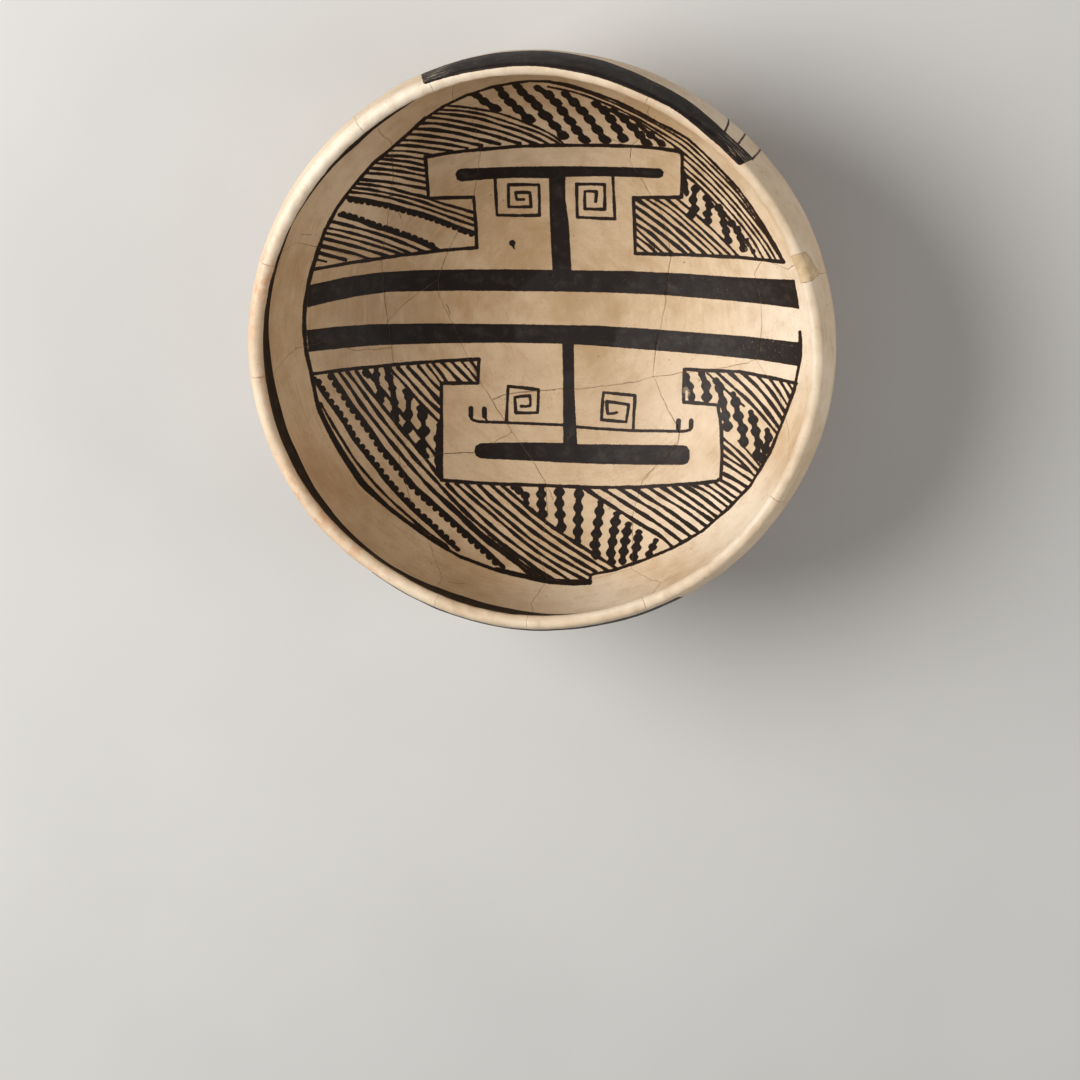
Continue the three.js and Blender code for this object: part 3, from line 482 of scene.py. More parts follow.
# rows of beads: (points, half width, half height, half width of the neck, turn); some beads have their own size
BEADS = [
    ([(470, 94), (477, 97, 6, 3.8), (484.6, 103, 6.4, 4), (495.4, 110, 7.4, 4.4)], 6.2, 4.0, 2.9, 14),
    ([(499, 90, 5.4, 3.6), (504, 97, 6.4, 4.2), (510.6, 104), (518.4, 111), (528.6, 120.4, 8, 5)], 6.8, 4.4, 2.9, 14),
    ([(517.6, 88, 5.4, 3.6), (522.4, 94, 6, 4.2), (530, 100.6), (537, 107.4), (545.4, 117.2, 8, 4.9), (555, 127.4), (563, 136.6, 7, 4.6)], 6.7, 4.5, 2.9, 15),
    ([(538, 90, 5, 3.4), (548.6, 96.6), (556, 104), (562.4, 112.6), (570, 122.4), (576.6, 131.6), (584.4, 140.8)], 6.7, 4.5, 2.8, 16),
    ([(565.6, 96, 5.4, 3.8), (574, 104), (582, 112.4), (589.4, 121), (597, 131), (604.6, 140.8)], 6.7, 4.6, 2.8, 16),
    ([(596, 106, 6, 3.8), (604, 112), (610.4, 120.4), (616.4, 129.6), (622.6, 139.6)], 6.6, 4.6, 2.8, 16),
    ([(613, 112, 4.6, 3), (624, 120.6, 5.8, 4), (632, 128.6), (639.6, 136.6), (646, 144)], 6.4, 4.3, 2.6, 20),
    ([(638, 126, 3, 2.4), (650, 136.4, 5.6, 3.8), (660.6, 144.4, 5.6, 3.4)], 5.6, 3.8, 1.9, 28),
    ([(683.4, 176), (684.6, 185), (686, 193)], 3.0, 4.6, 2.4, 0), ([(694.6, 190), (692.4, 200.6), (694.2, 209.8), (690.6, 215.6)], 4.8, 5.0, 2.5, 0),
    ([(706.4, 199), (709, 206), (706.8, 214.6), (707.4, 221.6)], 4.7, 4.6, 2.6, 10),
    ([(718, 208.6), (721.8, 215), (723, 223.4), (725.4, 231.6), (727.4, 241)], 4.7, 4.6, 2.6, 10),
    ([(731, 224), (736.6, 230.6), (740, 238.4), (743, 249)], 4.6, 4.4, 2.5, 20),
    ([(746, 241), (752.6, 252)], 2.2, 3.2, 1.5, 30),
    ([(365.4, 368), (365.4, 372.6, 3.4, 4.2), (368, 377, 2, 2)], 3.4, 4.0, 1.8, 0),
    ([(376.4, 368.6, 2.4, 2), (376.7, 374.4, 4.0, 4.6), (377.5, 383.3, 3.0, 4.0), (380.8, 394.2, 5.4, 6.4), (382, 400.6, 2.6, 3)], 4, 5, 2.4, 0),
    ([(386.6, 367, 3, 3), (389.2, 377.5, 4.6, 5.4), (392.5, 388.3, 4.2, 4.8), (394.6, 402.5, 4.7, 5.4), (395, 413, 4.7, 5.6), (397, 420, 3, 3)], 4, 5, 2.9, 0),
    ([(405, 391, 3, 3), (408.8, 397, 4.7, 4.8), (408.3, 414, 5.3, 6.6), (408, 427, 5.3, 6.8), (405.4, 433.6, 3, 3)], 5, 6, 2.7, 0),
    ([(419, 408, 3, 3), (422.5, 415.4, 5.9, 6.8), (424.2, 430.8, 6.0, 6.6), (421.7, 445, 5.9, 6.8), (425.8, 456, 3.8, 3.8)], 6, 6, 2.5, 0),
    ([(439, 425, 3, 3), (437.8, 438.3, 4.6, 5.4), (438, 449, 3.4, 4.4), (437.8, 460.6, 4.2, 6), (438, 472, 3, 4)], 4, 5, 2.2, 0),
    ([(513, 487, 3, 3), (519, 490.6, 4.6, 4.4), (525.4, 495.4, 4.8, 4.6), (526, 503, 4, 3.6)], 5.0, 4.8, 2.6, 0),
    ([(541.4, 486, 4, 3), (541.2, 494), (541.4, 504), (542.4, 514)], 5.6, 5.6, 3.0, 0),
    ([(559.4, 487, 4, 3), (559.3, 492), (559.4, 503.2), (560.2, 514.6), (561.4, 527)], 5.6, 6.0, 3.0, 0),
    ([(579.4, 488, 4, 3), (579, 494), (578.3, 507.4), (578.2, 519.6), (578, 531.6), (577.8, 541, 4, 4)], 5.5, 6.4, 3.0, 0),
    ([(601, 502.4, 4, 3), (599.6, 511.4), (598, 522.6), (596.6, 533.8), (595, 545), (596, 554)], 5.6, 5.9, 3.0, 0),
    ([(617, 513.6, 4, 3), (615.6, 521.6), (614, 531), (612.6, 541.8), (611, 553), (611.6, 562, 4.6, 4.4)], 5.5, 5.6, 3.0, 0),
    ([(628.6, 524, 4, 3), (627, 531.4), (625.4, 541), (623.8, 551.4), (622.6, 561, 4.6, 4.4)], 5.3, 5.5, 2.9, 0),
    ([(639, 532, 4, 3), (638.2, 538), (636.6, 547.4), (634, 557, 4.8, 4.8)], 5.2, 5.3, 2.8, 0),
    ([(656, 540.6, 3, 3), (652.8, 547, 4.4, 4.4), (649.2, 554.4, 4.2, 4.2)], 4.4, 4.4, 2.2, 0),
    ([(685.6, 377), (689.4, 386.6), (691.4, 396.6)], 4.4, 5.6, 2.6, 0), ([(701.6, 374, 4, 4), (706, 385.6), (706.6, 396.8)], 5.6, 6.0, 3.0, 0),
    ([(716, 381, 4, 4), (719.4, 387.6), (722.6, 402), (725.4, 415.6), (727.4, 426)], 5.4, 6.4, 2.8, 0),
    ([(733, 394, 3, 3), (735.6, 402), (738.2, 416), (742.6, 429), (743.8, 441.4)], 5.5, 6.4, 2.8, 0),
    ([(750.6, 412, 3, 3), (753, 419.6), (755.6, 431), (758.6, 443.6), (757, 455)], 5.2, 6.0, 2.8, 0),
    ([(767, 430, 3, 3), (768.6, 437.4), (765.6, 448.6), (762.4, 458.6)], 4.9, 5.6, 2.7, 0),
]
# toothed lines: (points, half width, tooth radius, pitch, side)
TEETH = [
    ([(347.6, 198), (360, 200), (370, 201.6), (390, 205.6), (410, 211.2), (425, 215.2), (440, 220.4), (455, 226.2), (475, 234)], 2.1, 3.3, 6.0, 1),
    ([(340, 215.4), (350, 218.2), (360, 221), (370, 225.2), (390, 231.6), (410, 238.4), (425, 244.6), (438, 250)], 2.2, 3.4, 6.2, -1),
    ([(330, 371.6), (340.6, 388), (353.4, 407.4), (369.6, 428.6), (382, 447.4), (398.4, 467), (415, 487), (433, 503.4),
      (448, 516.8), (468, 535), (486, 551), (503, 567)], 2.5, 3.6, 8.0, 1),
    ([(315, 378.3), (321.7, 390), (328.3, 400), (341.7, 418.3), (355, 440), (373.3, 463.3), (390, 485), (410, 506.2),
      (430, 524.6), (450, 543.3), (458, 549.6)], 2.2, 3.4, 7.8, -1),
]


# the swelling line at the lower left: points with half widths
CRESCENT = [(313.5, 384, 1.8), (316.6, 400, 2.2), (319.9, 410.5, 2.6), (326.7, 425, 2.7), (334.6, 440, 3.0), (342.8, 454, 3.2),
            (349.2, 464, 3.3), (361, 481.5, 3.5), (368, 489, 3.4), (379, 499, 2.8), (390, 509, 2.1), (406, 521.5, 1.8),
            (420, 531.6, 1.9), (434, 541, 2.2), (447.6, 549, 2.4)]


def draw_field():
    f = Field(288, 66, 824, 604, 0.25, 3.0)
    f.stroke(FRAME_LINE[:23], 1.35, curve=False, shake=0.16)
    f.stroke(FRAME_LINE[22:46], 1.7, curve=False, shake=0.16)
    f.stroke(FRAME_LINE[45:], 1.6, curve=False, shake=0.16)
    f.stroke([(326, 230), (316.8, 257), (310, 281), (305.6, 305), (305, 333), (307.2, 353), (312.4, 377)], 2.0, shake=0.15)
    for (x0, y0, r0), (x1, y1, r1) in zip(CRESCENT[:-1], CRESCENT[1:]):
        f.segment((x0, y0), (x1, y1), r0, r1)
    f.stroke([(496, 569.5), (532, 577.8), (560, 581.6), (590, 581.6)], 2.4, curve=False, shake=0.1)
    for o in OUTLINES:
        f.stroke(o, 1.8, curve=False, shake=0.12)
    for b in BARS:
        f.polygon(b)
    for s in SPIRALS:
        f.stroke(s, 1.6, curve=False, shake=0.14)
    for p, r in HOOKS:
        f.stroke(p, r * 1.18, curve=len(p) > 4)
    # hatching, beads and teeth keep between the frame line and the plain figure
    g = Field(288, 66, 824, 604, 0.25, 3.0)
    for r, h in HATCH:
        g.stroke(h, r * 0.97, shake=0.22)
    for pts, a, b, neck, turn in BEADS:
        g.stroke([p[:2] for p in pts], neck, curve=False)
        for i, p in enumerate(pts):
            u, v = p[2:] if len(p) > 2 else (a, b)
            k = 1 + 0.06 * math.sin(i * 2.4 + p[0])
            g.blob(p[0], p[1], u * k, v * (2 - k), turn, 1.55)
    for pts, r, tooth, pitch, side in TEETH:
        g.stroke(pts, r, shake=0.1)
        p = spline(pts, 0.5)
        L = np.concatenate([[0], np.cumsum(np.hypot(*np.diff(p, axis=0).T))])
        for k, d in enumerate(np.arange(pitch * 0.6, L[-1] - 2, pitch)):
            i = np.searchsorted(L, d + 0.5 * math.sin(k * 2.1))
            t = p[min(i + 2, len(p) - 1)] - p[max(i - 2, 0)]
            t /= np.hypot(*t)
            n = np.array([-t[1], t[0]]) * side
            q = p[i] + n * (r * 0.75)
            g.blob(q[0], q[1], tooth * (1 + 0.1 * math.sin(k * 1.7)), tooth * 0.95, math.degrees(math.atan2(t[1], t[0])), 2.2)
    whole, plain = Field(288, 66, 824, 604, 1.0, 3.0), Field(288, 66, 824, 604, 1.0, 3.0)
    whole.v[:] = 1e3
    plain.v[:] = 1e3
    whole.far = plain.far = 1e3
    whole.polygon(FRAME_LINE)
    plain.polygon(OUTLINES[0] + [(799, 300), (802, 345)] + OUTLINES[2][::-1] + [(304, 340), (306, 300)] + OUTLINES[1][::-1])
    X, Y = np.meshgrid(g.x0 + g.cell * np.arange(g.nx), g.y0 + g.cell * np.arange(g.ny))
    keep = np.maximum(whole.sample(X, Y), -plain.sample(X, Y)) - 0.4
    f.v = np.minimum(f.v, np.minimum(np.maximum(g.v, keep), f.far)).astype(np.float32)
    f.blob(512.4, 243.4, 3.2, 3.0, 0, 2.2)          # a drip
    f.stroke([(513, 245), (514.4, 249.2)], 1.8, 0.8)
    return f


# fine cracks that don't run right through, on the same drawing
HAIR_VIEW = [
    [(398, 211.6), (401, 217), (403.4, 224.5)], [(437, 291), (443, 300), (447.6, 306), (450.6, 315)],
    [(443, 580), (454, 582.4), (465, 583)], [(661, 583), (668, 577.6), (673, 573)],
    [(680, 431), (678, 442), (668, 454), (655, 468), (644, 480)], [(630.6, 149), (629.6, 163)],
    [(493, 399), (503, 395), (516, 392.6), (530, 391.2), (556, 390.2)], [(545, 482), (551, 492), (553, 500)],
    [(442, 453), (458, 452.8), (473, 452)], [(301, 234.7), (310, 235.6), (319, 235.4)],
]
# and on the outside, as (distance along the wall, angle)
HAIR_OUT = [
    [(154.7, 162.3), (147.8, 161.8), (139.1, 162.3), (131.2, 162.8), (125.1, 163.3), (119.1, 163.3), (115.6, 163.9)],
    [(162.3, 255.3), (151.7, 255.8), (143.8, 253.8), (132.6, 252.3)],
    [(179.5, 190.3), (180.4, 192.5)], [(156.1, 192.8), (161.7, 195.3)], [(157.3, 193.3), (162.1, 194.6)],
    [(146.9, 190.3), (148.9, 193.8)], [(173.2, 134.8), (170.4, 135.8)], [(52.6, 103.8), (49, 118), (50.4, 131)],
]
# pits outside: (distance along the wall, angle, radius)
PITS_OUT = [
    (181.9, 139.8, .5), (175.5, 174.3, .85), (156.8, 186.3, .95), (144.5, 155.8, .8), (134.4, 180.8, .75), (128.3, 182.8, .85),
    (127.9, 188.8, .8), (144.3, 190.3, 1.15), (126.6, 197.8, .8), (134.0, 197.8, .55), (130.5, 204.8, .65), (131.5, 207.8, .6),
    (168.2, 214.3, .7), (168.0, 217.8, .6), (164.1, 226.3, .65), (166.7, 223.3, .5), (148.7, 143.8, .6), (153.1, 149.8, .55),
    (125.1, 163.3, 1.7), (128.0, 149.3, .7), (52.6, 103.8, .7), (79.0, 186.3, .9), (149.9, 185.3, .7), (166.9, 176.8, .5),
    (180.7, 200.8, .5), (180.3, 193.8, .5), (138.3, 196.3, .5), (107.6, 162.3, .6), (154.9, 202.3, .5), (147.4, 207.8, .6),
    (98.1, 161.8, .6), (119.4, 163.5, .8),
]
PITS_PALE = [(171.3, 202.8, 1.5), (177.1, 206.8, .8), (173.5, 213.3, 1.3), (170.4, 205.8, .9), (174.9, 181.8, 1.0),
             (171.1, 165.8, 1.2), (165.7, 199.3, .8), (174.4, 211.2, 1.1), (150.6, 186.9, 1.0)]

# exterior ornament: two bands under the rim, three lines and a small tailed block at each end
BANDS_OUT = [(233.5, 300.5), (40.6, 112.6)]
# foot and top of each, as (angle, distance)
BAND_EDGES = [([(233, 168.2), (245, 168.6), (301, 169)], [(233, 182.3), (250, 182.0), (275, 181.4), (301, 181)]),
              ([(40, 176.6), (44, 177.3), (49, 177.2), (57, 174.6), (68.6, 170.9), (80, 169), (113, 168.6)],
               [(40, 187.9), (45, 187.9), (51, 187.6), (60, 186.4), (100, 186.6), (106, 186.3), (113, 185.2)])]
# foot of the band inside: (degrees round from its end, distance along the wall)
BAND_FOOT = [(0, 155.8), (104, 155.4), (116, 149), (126, 142.6), (139.3, 143.9), (144.8, 147.4), (150.8, 151.4), (155.8, 154.6),
             (160, 156.8), (166, 157.2), (184, 157.2), (200, 156.1), (209, 156.8), (218, 160), (228, 162.2), (237, 163.4),
             (245.4, 161.8), (252, 158.6), (261, 158.2), (267, 159.4), (273, 161.6), (279, 164.6), (286, 167), (310, 166), (335, 159), (360, 155.8)]


def chart(s, a):
    a = np.radians(a)
    return np.stack([np.asarray(s) * np.cos(a), np.asarray(s) * np.sin(a)], -1)


def arc_mm(s):
    """Radius of the wall at s, for turning angles into millimetres."""
    return outer_at(np.minimum(s, S_LIP))[0]


def wrap(a):
    return (np.asarray(a) + 180.0) % 360.0 - 180.0


def seg_dist(s, a, line, radii):
    """Distance (mm on the wall) to a polyline given in (s, angle), less its half width."""
    best = np.full(s.shape, 9.0)
    for (p, q, ra, rb) in zip(line[:-1], line[1:], radii[:-1], radii[1:]):
        R = float(arc_mm((p[0] + q[0]) / 2)) * math.pi / 180
        near = (s > min(p[0], q[0]) - 4) & (s < max(p[0], q[0]) + 4) & (np.abs(wrap(a - (p[1] + q[1]) / 2)) * R < 5 + abs(wrap(p[1] - q[1])) * R)
        if not near.any():
            continue
        x, y = wrap(a[near] - p[1]) * R, s[near] - p[0]
        ex, ey = float(wrap(q[1] - p[1])) * R, q[0] - p[0]
        t = np.clip((x * ex + y * ey) / max(ex * ex + ey * ey, 1e-9), 0, 1)
        best[near] = np.minimum(best[near], np.hypot(x - t * ex, y - t * ey) - (ra + (rb - ra) * t))
    return best


def rounded_box(u, v, hu, hv, r):
    qu, qv = np.abs(u) - (hu - r), np.abs(v) - (hv - r)
    return np.hypot(np.maximum(qu, 0), np.maximum(qv, 0)) + np.minimum(np.maximum(qu, qv), 0) - r


def paint_inside(p, s, a, field):
    px, py = seen(p)
    d = np.where(s < 134, field.sample(px, py) / VIEW_SCALE, 3.0)
    R = 112.0 * math.pi / 180
    u = (np.asarray(a) - 355.3) % 360.0
    wob = 0.5 * np.sin(np.radians(a) * 5 + 1.0) + 0.35 * np.sin(np.radians(a) * 11 + 2.0) + 0.2 * np.sin(np.radians(a) * 23)
    hi = 175.0 + wob + 0.4 * np.sin(np.radians(a) * 4 + 0.6) + 0.9 * smooth01((28 - u) / 20)
    lo = np.interp(u, [q[0] for q in BAND_FOOT], [q[1] for q in BAND_FOOT]) + 0.35 * np.sin(np.radians(a) * 13) + 0.2 * np.sin(np.radians(a) * 31)
    band = rounded_box((u - 180.0) * R, s - (hi + lo) / 2, 180.0 * R - 2.6, (hi - lo) / 2, 3.2)
    return np.minimum(d, band)


def paint_outside(s, a):
    d = np.full(s.shape, 3.0)
    for (a0, a1), (foot, top) in zip(BANDS_OUT, BAND_EDGES):
        mid, half = (a0 + a1) / 2, (a1 - a0) / 2
        R = 121.0 * math.pi / 180
        du = wrap(a - mid) * R
        wob = 0.35 * np.sin(np.radians(a) * 9 + a0) + 0.22 * np.sin(np.radians(a) * 23)
        at = mid + wrap(a - mid)
        lo = np.interp(at, [q[0] for q in foot], [q[1] for q in foot]) + wob
        hi = np.interp(at, [q[0] for q in top], [q[1] for q in top]) + wob * 0.6
        band = rounded_box(du + (s - 175.2) * 0.16 * np.sign(du), s - (hi + lo) / 2, half * R, (hi - lo) / 2, 1.2)
        d = np.minimum(d, band)
        for sign, end in ((1, a0), (-1, a1)):
            s_top = float(np.interp(end, [q[0] for q in foot], [q[1] for q in foot])) + 1.5
            for l0, l1, bow in ((0.3, 2.3, -0.2), (4.3, 6.3, 0.1), (7.8, 10.6, 0.5)):
                line = [(s_top, end + sign * l0), (155, end + sign * ((l0 + l1) / 2 + bow - 0.5)), (136.6, end + sign * l1)]
                d = np.minimum(d, seg_dist(s, a, [tuple(q) for q in line], [0.48, 0.42, 0.5]))
            # block: a slightly skewed rectangle
            R2 = 113.5 * math.pi / 180
            v = s - 133.2
            u = sign * wrap(a - (end + sign * 6.7)) * R2 + v * 0.10
            d = np.minimum(d, rounded_box(u, v + u * 0.04, 4.35 * R2, 3.7, 0.5))
            for b0, b1, s0, s1, r0 in ((3.5, 2.2, 127.9, 120.6, 0.95), (6.9, 5.9, 127.7, 120.6, 1.25), (10.2, 9.9, 128.0, 123.4, 0.65)):
                d = np.minimum(d, seg_dist(s, a, [(s0, end + sign * b0), ((s0 + s1) / 2, end + sign * (b0 + b1) / 2), (s1, end + sign * b1)],
                                           [r0, r0 * 0.6, 0.08]))
    return d


# ======================================================================
# Relief of the surfaces
# ======================================================================

n_big, n_mid, n_small = waves(11, 46), waves(12, 17), waves(13, 6.5)
n_lip, n_chip, n_wear, n_join = waves(14, 9.0), waves(15, 3.4), waves(16, 2.2), waves(17, 22.0)
rng = np.random.default_rng(20)
_small_pits = []
while len(_small_pits) < 90:
    s0, a0 = math.sqrt(rng.uniform(30 ** 2, 183 ** 2)), rng.uniform(0, 360)
    _small_pits.append((s0, a0, rng.uniform(0.22, 0.5)))
_inner_pits = []
while len(_inner_pits) < 60:
    s0, a0 = math.sqrt(rng.uniform(8 ** 2, 182 ** 2)), rng.uniform(0, 360)
    _inner_pits.append((s0, a0, rng.uniform(0.2, 0.42)))


def wiggle_breaks():
    wx, wy = waves(31, 7.0), waves(32, 7.0)
    fx, fy = waves(33, 2.2), waves(34, 2.2)

    def move(p):
        q = np.concatenate([p, np.zeros((len(p), 1))], 1)
        return p + 0.20 * np.stack([wx(q), wy(q)], -1) + 0.07 * np.stack([fx(q), fy(q)], -1)
    return move


_move = wiggle_breaks()


def dense_break(points):
    """Chart polyline of a break, finely divided and roughened, cut at the crest of the lip."""
    p = chart([q[0] for q in points], [q[1] for q in points])
    out = []
    for a, b in zip(p[:-1], p[1:]):
        n = max(int(math.ceil(np.hypot(*(b - a)) / 0.8)), 1)
        t = (np.arange(n) / n)[:, None]
        out.append(a + (b - a) * t)
    out = _move(np.concatenate(out + [p[-1:]]))
    r = np.hypot(out[:, 0], out[:, 1])
    if r[0] > S_TOP:
        k = int(np.argmax(r <= S_TOP))
        a, b = out[k], out[k - 1]
        t = (S_TOP - r[k]) / (r[k - 1] - r[k])
        c = a + (b - a) * t
        out = np.concatenate([[c / np.hypot(*c) * S_TOP], out[k:]])
    elif r[-1] > S_TOP:
        k = len(r) - 1 - int(np.argmax(r[::-1] <= S_TOP))
        a, b = out[k], out[k + 1]
        t = (S_TOP - r[k]) / (r[k + 1] - r[k])
        c = a + (b - a) * t
        out = np.concatenate([out[:k + 1], [c / np.hypot(*c) * S_TOP]])
    return out


def break_part(name, *ends):
    line = BREAKS[name]
    if not ends:
        return line

    def find(s, a):
        for i, p in enumerate(line):
            if abs(p[0] - s) < 1e-6 and abs(wrap(p[1] - a)) < 1e-6:
                return i
        raise ValueError("no such point on " + name)
    i, j = find(*ends[:2]), find(*ends[2:])
    return line[i:j + 1] if i < j else line[j:i + 1][::-1]


def sherd_loop(pieces):
    """Closed outline (counter-clockwise) and a flag for each point on the crest of the lip."""
    parts = [None if p[0] == "rim" else dense_break(break_part(*p)) for p in pieces]
    pts, crest = [], []
    n = len(parts)
    for i, part in enumerate(parts):
        if part is None:
            a, b = parts[i - 1][-1], parts[(i + 1) % n][0]
            a0, a1 = math.atan2(a[1], a[0]), math.atan2(b[1], b[0])
            turn = (a1 - a0 + math.pi) % TAU - math.pi
            k = max(int(abs(turn) * S_TOP / 1.3), 2)
            ang = a0 + turn * np.arange(1, k) / k
            pts.append(np.stack([S_TOP * np.cos(ang), S_TOP * np.sin(ang)], -1))
            crest.append(np.ones(k - 1, bool))
        else:
            flags = np.hypot(part[:, 0], part[:, 1]) > S_TOP - 1e-6
            pts.append(part)
            crest.append(flags)
    p, c = np.concatenate(pts), np.concatenate(crest)
    keep = np.hypot(*(p - np.roll(p, 1, axis=0)).T) > 1e-4
    p, c = p[keep], c[keep]
    x, y = p.T
    if (x * np.roll(y, -1) - y * np.roll(x, -1)).sum() < 0:
        p, c = p[::-1], c[::-1]
    return np.ascontiguousarray(p), np.ascontiguousarray(c)


def inset(p, crest, d):
    """Moves the outline inwards by d mm measured on the wall. Crest points stay on the crest."""
    s = np.maximum(np.hypot(p[:, 0], p[:, 1]), 1e-6)
    u = p / s[:, None]
    w = np.stack([-u[:, 1], u[:, 0]], -1)
    r, _, nr, _ = outer_at(np.minimum(s, S_LIP))
    kappa = np.maximum(r - LIP_HALF * nr, 1) / np.minimum(s, S_LIP)

    def side(e):
        l = np.stack([(e * u).sum(1), (e * w).sum(1) * kappa], -1)
        l /= np.maximum(np.linalg.norm(l, axis=1), 1e-9)[:, None]
        return np.stack([-l[:, 1], l[:, 0]], -1)
    prev, nxt = np.roll(p, 1, axis=0), np.roll(p, -1, axis=0)
    pc, nc = np.roll(crest, 1), np.roll(crest, -1)
    n1, n2 = side(p - prev), side(nxt - p)
    n = n1 + n2
    corner_in, corner_out = crest & ~pc, crest & ~nc        # the ends of the crest arc
    n[corner_in], n[corner_out] = n1[corner_in], n2[corner_out]
    n /= np.maximum(np.linalg.norm(n, axis=1), 1e-9)[:, None]
    m = np.minimum(1 / np.maximum((n * np.where(corner_out[:, None], n2, n1)).sum(1), 0.35), 2.2) * d
    q = p + u * (n[:, :1] * m[:, None]) + w * (n[:, 1:] * m[:, None] / kappa[:, None])
    inner_crest = crest & ~(corner_in | corner_out)
    q[inner_crest] = p[inner_crest]
    ends = corner_in | corner_out
    q[ends] *= (S_TOP / np.hypot(q[ends, 0], q[ends, 1]))[:, None]
    return q


def inside_polygon(p, poly):
    x, y = p.T
    odd = np.zeros(len(p), bool)
    order = np.argsort(y)
    ys = y[order]
    for a, b in zip(poly, np.roll(poly, -1, axis=0)):
        lo, hi = (a[1], b[1]) if a[1] < b[1] else (b[1], a[1])
        i, j = np.searchsorted(ys, lo, "left"), np.searchsorted(ys, hi, "left")
        if i == j:
            continue
        idx = order[i:j]
        xi = (b[0] - a[0]) * (y[idx] - a[1]) / (b[1] - a[1]) + a[0]
        odd[idx[x[idx] < xi]] ^= True
    return odd


# distance to the nearest break, and to the cracks, on the chart
break_field = Field(-190, -190, 190, 190, 0.25, 3.0)
for name, line in BREAKS.items():
    if name == "fill":
        continue
    q = dense_break(line)
    for a, b in zip(q[:-1:2], q[2::2]):
        break_field.segment(a, b, 0, 0)
fill_field = Field(100, 20, 190, 90, 0.25, 3.0)
for a, b in zip(dense_break(BREAKS["fill"])[:-1], dense_break(BREAKS["fill"])[1:]):
    fill_field.segment(a, b, 0, 0)


def break_distance(x, y):
    return np.minimum(break_field.sample(x, y), fill_field.sample(x, y))


def unseen(pts):
    """Chart points of places on the inner surface given on the drawing."""
    target = np.asarray(pts, float)
    q = np.stack([(target[:, 0] - VIEW_C[0]) / 2.0, (VIEW_C[1] - target[:, 1]) / 2.0], -1)
    for _ in range(40):
        px, py = seen(place(q[:, 0], q[:, 1], True))
        q = q + np.stack([target[:, 0] - px, py - target[:, 1]], -1) * 0.28
    return q


hair_in = [unseen(spline(h, 1.2)) for h in HAIR_VIEW]
hair_out = [chart(*spline(h, 0.6, straight=True).T) for h in [np.asarray(h, float) for h in HAIR_OUT]]
_jit = waves(41, 3.0)
hair_in = [h + 0.14 * np.stack([_jit(np.c_[h, h[:, :1]]), _jit(np.c_[h[:, 1:], h])], -1) for h in hair_in]
hair_out = [h + 0.22 * np.stack([_jit(np.c_[h, h[:, :1]]), _jit(np.c_[h[:, 1:], h])], -1) for h in hair_out]
hair_field = {}
for side, lines in (("in", hair_in), ("out", hair_out)):
    f = Field(-190, -190, 190, 190, 0.2, 1.5)
    for h in lines:
        for a, b in zip(h[:-1], h[1:]):
            f.segment(a, b, 0, 0)
    hair_field[side] = f

PITS = {"in": [(s, a, r, 0.30) for s, a, r in _inner_pits],
        "out": [(s, a, r, 0.42) for s, a, r in PITS_OUT] + [(s, a, r, 0.22) for s, a, r in PITS_PALE]
        + [(s, a, r, 0.3) for s, a, r in _small_pits]}


def join_shown(p, s, inside):
    """How far a join can be seen, 0 to 1: filled and toned outside, finer and open in places inside."""
    v = 0.55 + 0.45 * np.clip(n_join(p), -1, 1)
    lip = smooth01((s - 176) / 8)
    return v * ((1.0 if inside else 0.22) * (1 - lip) + 0.22 * lip)


def relief(p, x, y, inside):
    """Height of the real surface over the plain one, in mm. Never above it outside."""
    s = np.hypot(x, y)
    big, mid, small = n_big(p), n_mid(p), n_small(p)
    lip = smooth01((s - S_LIP + 6) / (S_TOP - S_LIP + 6))
    lip_h = -0.26 + 0.13 * np.clip(n_lip(p), -1.3, 1.3)
    body = (-0.20 + 0.13 * np.clip(big, -1.4, 1.4) + 0.045 * mid + 0.016 * small) if inside else \
        (-0.34 + 0.14 * np.clip(big, -1.4, 1.4) + 0.055 * mid + 0.018 * small)
    if not inside:      # the worn flat underneath
        foot = smooth01((30 - s) / 8)
        body = body * (1 - foot) - 0.06 * foot
    h = body * (1 - lip) + lip_h * lip
    d = break_distance(x, y)
    wear = np.clip(0.5 + 0.5 * n_wear(p), 0, 1)
    show = join_shown(p, s, inside)
    h -= show * (0.03 + 0.09 * wear) * np.exp(-(d / 0.38) ** 2)
    chip = smooth01((n_chip(p) - 0.95) / 0.6) * smooth01((1.1 - d) / 0.9)
    h -= 0.22 * chip * show
    hair = hair_field["in" if inside else "out"].sample(x, y)
    h -= 0.10 * np.exp(-(hair / 0.28) ** 2)
    for s0, a0, r, depth in PITS["in" if inside else "out"]:
        c = chart(s0, a0)
        near = np.abs(x - c[0]) + np.abs(y - c[1]) < 3.2 * r + 1.0
        if near.any():
            q = ((x[near] - c[0]) ** 2 + (y[near] - c[1]) ** 2) / (r * r)
            h[near] -= depth * np.exp(-q * 1.1)
    return h


def surface(x, y, inside, extra=0.0):
    """Finished surface points (mm) and the height used."""
    p = place(x, y, inside)
    e = 0.06
    dx = place(x + e, y, inside) - place(x - e, y, inside)
    dy = place(x, y + e, inside) - place(x, y - e, inside)
    n = np.cross(dx, dy)
    n /= np.maximum(np.linalg.norm(n, axis=1), 1e-12)[:, None]
    if not inside:
        n = -n
    h = relief(p, x, y, inside)
    q = p + n * (h + extra)[:, None] if np.ndim(extra) else p + n * (h + extra)[:, None]
    q[:, 2] = np.maximum(q[:, 2], 0.02)
    return q, h


# ======================================================================
# Points of the two sheets, dense where something is drawn
# ======================================================================

field = draw_field()


